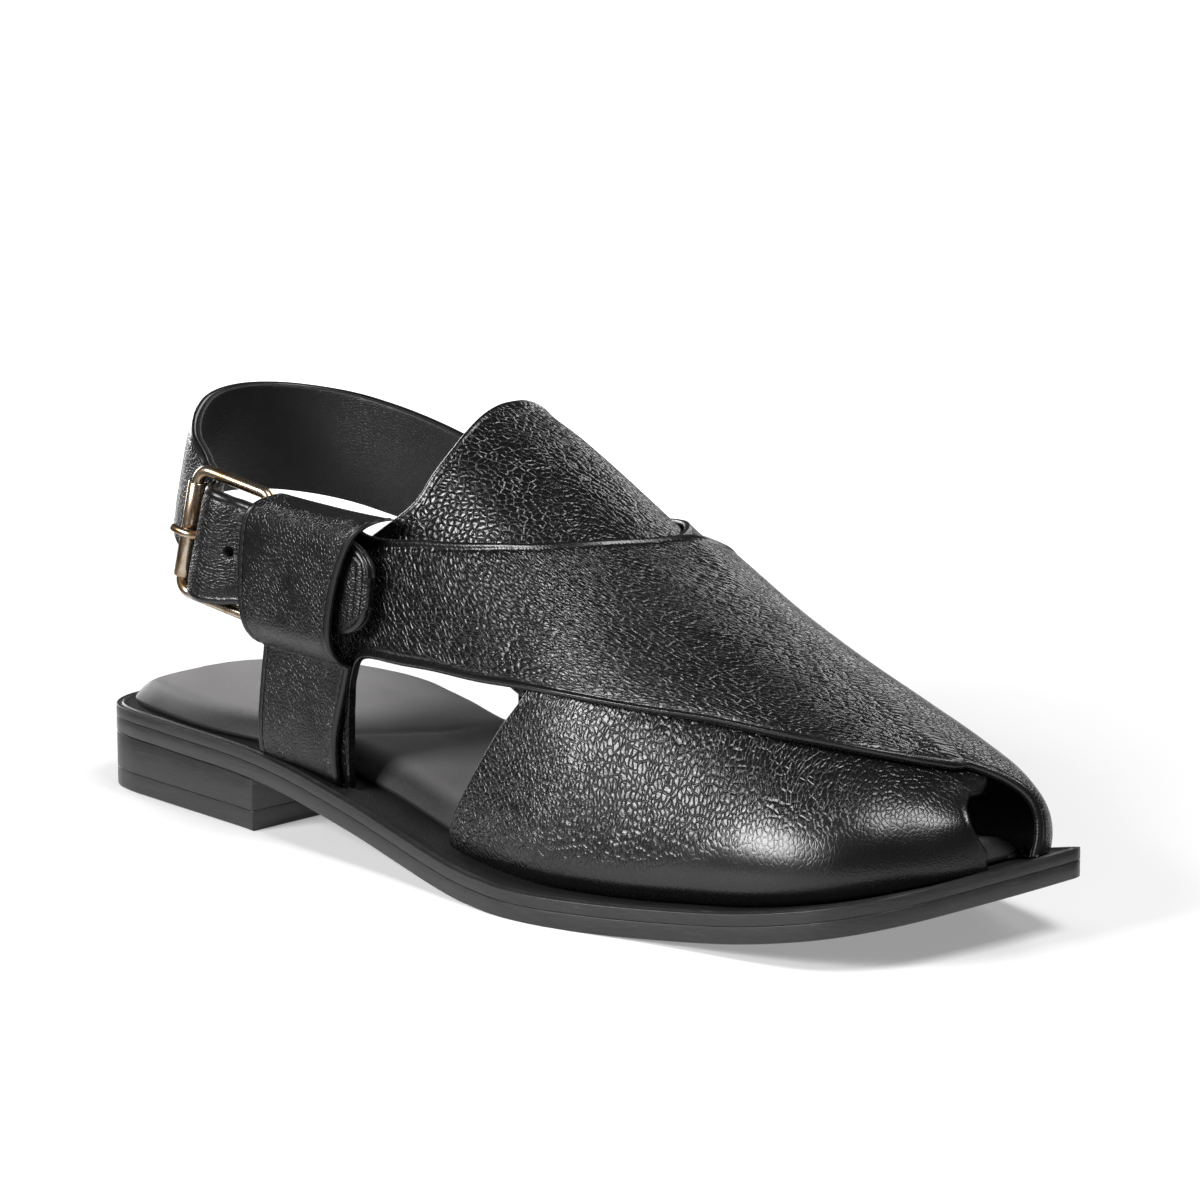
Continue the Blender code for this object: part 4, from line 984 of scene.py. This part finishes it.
for k in range(len(band)):
    reach = half_width[k]
    inward = across_steps * min(1.0, reach * 0.8 / across_steps[-1])
    half_face = np.concatenate([-reach + inward, np.linspace(-reach + inward[-1], 0.0, 8)[1:]])
    w_face = np.concatenate([half_face, -half_face[::-1][1:]])
    slope = np.clip((np.abs(w_face) / (band[k, 5] * BALL_WIDTH) - 0.35) / 0.65, 0.0, 1.0)
    to_tip = run[-1] - run[k] - BILLET_ROUND * (1.0 - np.sqrt(1.0 - slope * slope))
    d = np.minimum(reach - np.abs(w_face), np.maximum(to_tip, 0.0))
    crown = 0.25 * MM * fade_in(d, 2.4, 6.0) - ridge(d, 0.25, 2.1, 0.40)
    crown -= ridge(d, 0.22, 4.3, 0.45) * (run[-1] - run[k] < 1.6 * BILLET_ROUND)
    shoulder = 0.40 * MM * (1.0 - fade_in(d, 0.2, 1.1))
    outer_face = [(w, n) for w, n in zip(w_face, face - 0.25 * MM + crown - shoulder)]
    lining_face = [(w, n) for w, n in zip(w_face[::-1], -face + 0.16 * MM * (1.0 - fade_in(d, 0.2, 1.0)))]
    high_edge = [(reach - (1.0 - s) * MM, n) for s, n in edge_out + edge_in]
    low_edge = [(-reach + (1.0 - s) * MM, n) for s, n in (edge_in[::-1] + edge_out[::-1])]
    half_low = len(low_edge) // 2
    loop = low_edge[half_low:] + outer_face + high_edge + lining_face + low_edge[:half_low]
    band_rings.append([centre[k] + width[k] * w + through[k] * n for w, n in loop])
    band_grain.append([(run[k], w) for w, n in loop])
    band_plump.append([float(ease(reach - abs(w), 0.8 * MM, 2.6 * MM)) for w, n in loop])
size = len(loop)
first_in = half_low + len(outer_face) + len(edge_out)
band_split = [1 if first_in <= k < size - half_low else 0 for k in range(size)]
slingback = ring_piece("slingback_leather", band_rings, [fine, lining], grain=band_grain, plump=band_plump,
                       split=band_split)

# buckle: forward, up and out directions of its frame
roller_middle = np.array(ROLLER_PLACE) * BALL_WIDTH
ahead = unit(np.array(FRONT_BAR_PLACE) * BALL_WIDTH - roller_middle)
upward = unit(np.array([0.0, 0.0, 1.0]) - ahead * ahead[2])
outside = np.cross(ahead, upward)


def buckle_point(forward, up, out):
    return roller_middle + ahead * forward + upward * up + outside * out


corner = 3.5 * MM
bar_half = BUCKLE_INNER_HEIGHT / 2.0 + BUCKLE_BAR
frame_path = []
for sign_f, sign_u, start in ((1, 1, 0.0), (1, -1, 0.5), (-1, -1, 1.0), (-1, 1, 1.5)):
    mid_f = BUCKLE_REACH / 2.0 + sign_f * (BUCKLE_REACH / 2.0 - corner)
    mid_u = sign_u * (bar_half - corner)
    for step in range(13):
        angle = math.pi * (0.5 - start - step / 24.0)
        frame_path.append(buckle_point(mid_f + corner * math.cos(angle), mid_u + corner * math.sin(angle), 0.0))
frame_rings = rod(frame_path, BUCKLE_BAR * PLATED_FULLNESS, 24, True, outside)
buckle_frame = ring_piece("buckle_frame_bar", frame_rings, [brass], loop=True)
fitted(buckle_frame, "buckle_frame")

roller_low = buckle_point(0.0, -ROLLER_LENGTH / 2.0 + corner * 0.4, 0.0)
roller_high = buckle_point(0.0, ROLLER_LENGTH / 2.0 - corner * 0.4, 0.0)
inner_radius = ROLLER_RADIUS - ROLLER_WALL
lip_round = 0.18 * MM
profile = [(0.0, ROLLER_RADIUS - lip_round), (lip_round, ROLLER_RADIUS)]
profile += [(1.0 - lip_round, ROLLER_RADIUS), (1.0, ROLLER_RADIUS - lip_round), (1.0, inner_radius),
            (0.0, inner_radius)]
roller_axis = unit(roller_high - roller_low)
roller_length = float(np.linalg.norm(roller_high - roller_low))
side = unit(np.cross(roller_axis, outside))
rings = []
for angle in np.arange(32) * 2.0 * np.pi / 32:
    way = math.cos(angle) * side + math.sin(angle) * np.cross(roller_axis, side)
    ring = []
    for along, radius in profile:
        reach = along if along < 0.5 else roller_length - (1.0 - along)
        ring.append(roller_low + roller_axis * reach + way * radius)
    rings.append(ring)
fitted(ring_piece("buckle_roller_tube", rings, [brass], loop=True), "buckle_roller")

prong_rows = rows_along(PRONG_PATH, 90)
prong_path = [buckle_point(f * BUCKLE_REACH, 0.0, o * BUCKLE_REACH) for f, o in prong_rows]
taper = PRONG_RADIUS * (1.0 - 0.35 * ease(np.arange(90), 82, 89))
fitted(ring_piece("buckle_prong_pin", rod(prong_path, taper, 18, False, upward), [brass]), "buckle_prong")

# holes in the billet
prong_cut = [buckle_point(f * BUCKLE_REACH, 0.0, o * BUCKLE_REACH) for f, o in rows_along(PRONG_PATH, 22)[4:16]]
hole_x = roller_middle[0] + BUCKLE_REACH * HOLE_FORWARD
crossing = int(np.argmin(np.abs(centre[:, 0] - hole_x) + np.where(centre[:, 1] > 0.0, SOLE_LENGTH, 0.0)))
reach_through = through[crossing] * BAND_THICKNESS * 1.5
cutters = [ring_piece("prong_hole", rod(prong_cut, PRONG_RADIUS + 0.5 * MM, 20, False, upward), [lining]),
           ring_piece("next_hole", rod([centre[crossing] - through[crossing] * (face - 0.4 * MM),
                                        centre[crossing] + reach_through],
                                       HOLE_RADIUS, 28, False, width[crossing]), [lining])]
for cutter in cutters:
    cut = slingback.modifiers.new(cutter.name, 'BOOLEAN')
    cut.operation = 'DIFFERENCE'
    cut.solver = 'EXACT'
    cut.use_self = True
    cut.object = cutter
kept_shape(slingback)
for cutter in cutters:
    bpy.data.objects.remove(cutter)
fitted(slingback, "slingback")

# thread
strap_seams = []
seam_rows = slice(2, int(np.searchsorted(run, run[-1] - 1.2 * BILLET_ROUND)), 4)
for sign in (-1.0, 1.0):
    offset = (half_width - 2.1 * MM)[seam_rows, None] * sign
    strap_seams.append(centre[seam_rows] + width[seam_rows] * offset + through[seam_rows] * (face - 0.42 * MM))
stitches("slingback_stitches", strap_seams, thread, "slingback")
stitches("stay_stitches", [s[::3] for s in stay_seams], thread, "near_stay")

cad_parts["buckle_tab"].data.materials.clear()
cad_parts["buckle_tab"].data.materials.append(lining)

# studio
floor_mesh = bpy.data.meshes.new("studio_floor")
floor_corners = [(x * FLOOR_REACH, y * FLOOR_REACH, 0.0) for x, y in ((-1, -1), (1, -1), (1, 1), (-1, 1))]
floor_mesh.from_pydata(floor_corners, [], [(0, 1, 2, 3)])
floor = placed("studio_floor", floor_mesh)
paper = Look("white_paper", (0.60, 0.60, 0.60), 0.55, Specular_IOR_Level=0.2)


def along_floor(way, shift):
    values = {0: paper.place(), 1: way}
    return paper.vector_math("DOT_PRODUCT", values, "Value") + shift


# a white sheet runs back from the sandal, with a dark floor on both sides of it
depth_back = along_floor((-0.682, 0.731, 0.0), 0.984)
aside = along_floor((0.731, 0.682, 0.0), -0.014).math("ABSOLUTE") / depth_back.most(0.05)
sheet = aside.step(0.17, 0.22, 1.0, 0.0) * depth_back.step(0.52, 0.66)
glow = depth_back.step(1.15, 1.9, 0.30, 1.7) * sheet
paper.colour(paper.blended(sheet, (0.05, 0.05, 0.05), (0.62, 0.62, 0.62)))
paper.feed(paper.shader.inputs["Emission Color"], paper.blended(glow, (0.0, 0.0, 0.0), (1.0, 1.0, 1.0)))
paper.feed(paper.shader.inputs["Emission Strength"], 1.0)
paper.rough(paper.noise(paper.place(), 30.0) * 0.1 + 0.5)
floor_mesh.materials.append(paper.material)


def softbox(name, turn, rise, distance, across, tall, radiance):
    """Large soft lamp round the sandal: its direction in degrees, distance, size and brightness."""
    lamp = bpy.data.lights.new(name, 'AREA')
    lamp.shape = 'RECTANGLE'
    lamp.size = across
    lamp.size_y = tall
    lamp.energy = radiance * math.pi * across * tall
    made = placed(name, lamp)
    turn = math.radians(turn)
    rise = math.radians(rise)
    way = Vector((math.cos(rise) * math.cos(turn), math.cos(rise) * math.sin(turn), math.sin(rise)))
    made.location = way * distance + Vector((0.0, 0.0, 0.05))
    made.rotation_euler = (-way).to_track_quat('-Z', 'Y').to_euler()


softbox("key_lamp", -104.0, 27.0, 1.45, 0.62, 0.50, 28.0)
softbox("top_lamp", -8.0, 58.0, 1.6, 0.6, 0.6, 19.0)
softbox("back_lamp", 101.0, 25.0, 1.7, 0.9, 0.40, 5.0)
softbox("heel_lamp", 165.0, 12.0, 1.6, 0.5, 0.6, 12.0)
world = bpy.data.worlds.new("studio_air")
world.use_nodes = True
air = world.node_tree
direction = air.nodes.new("ShaderNodeTexCoord").outputs["Generated"]
split_up = air.nodes.new("ShaderNodeSeparateXYZ")
air.links.new(direction, split_up.inputs[0])
fade = air.nodes.new("ShaderNodeMapRange")
fade.interpolation_type = "SMOOTHSTEP"
air.links.new(split_up.outputs["Z"], fade.inputs["Value"])
for label, value in (("From Min", 0.0), ("From Max", 0.35), ("To Min", 0.16), ("To Max", 0.07)):
    fade.inputs[label].default_value = value
air.nodes["Background"].inputs["Color"].default_value = (1.0, 1.0, 1.0, 1.0)
air.links.new(fade.outputs["Result"], air.nodes["Background"].inputs["Strength"])
bpy.context.scene.world = world
bpy.context.scene.view_settings.view_transform = "Standard"

lens = bpy.data.cameras.new("photo_camera")
lens.lens = 120.0
lens.sensor_width = 36.0
lens.clip_start = 0.01
camera = placed("photo_camera", lens)
camera.location = (0.6813, -0.7096, 0.2553)
camera.rotation_euler = Vector((-0.6696, 0.7181, -0.1895)).to_track_quat('-Z', 'Y').to_euler()
bpy.context.scene.camera = camera
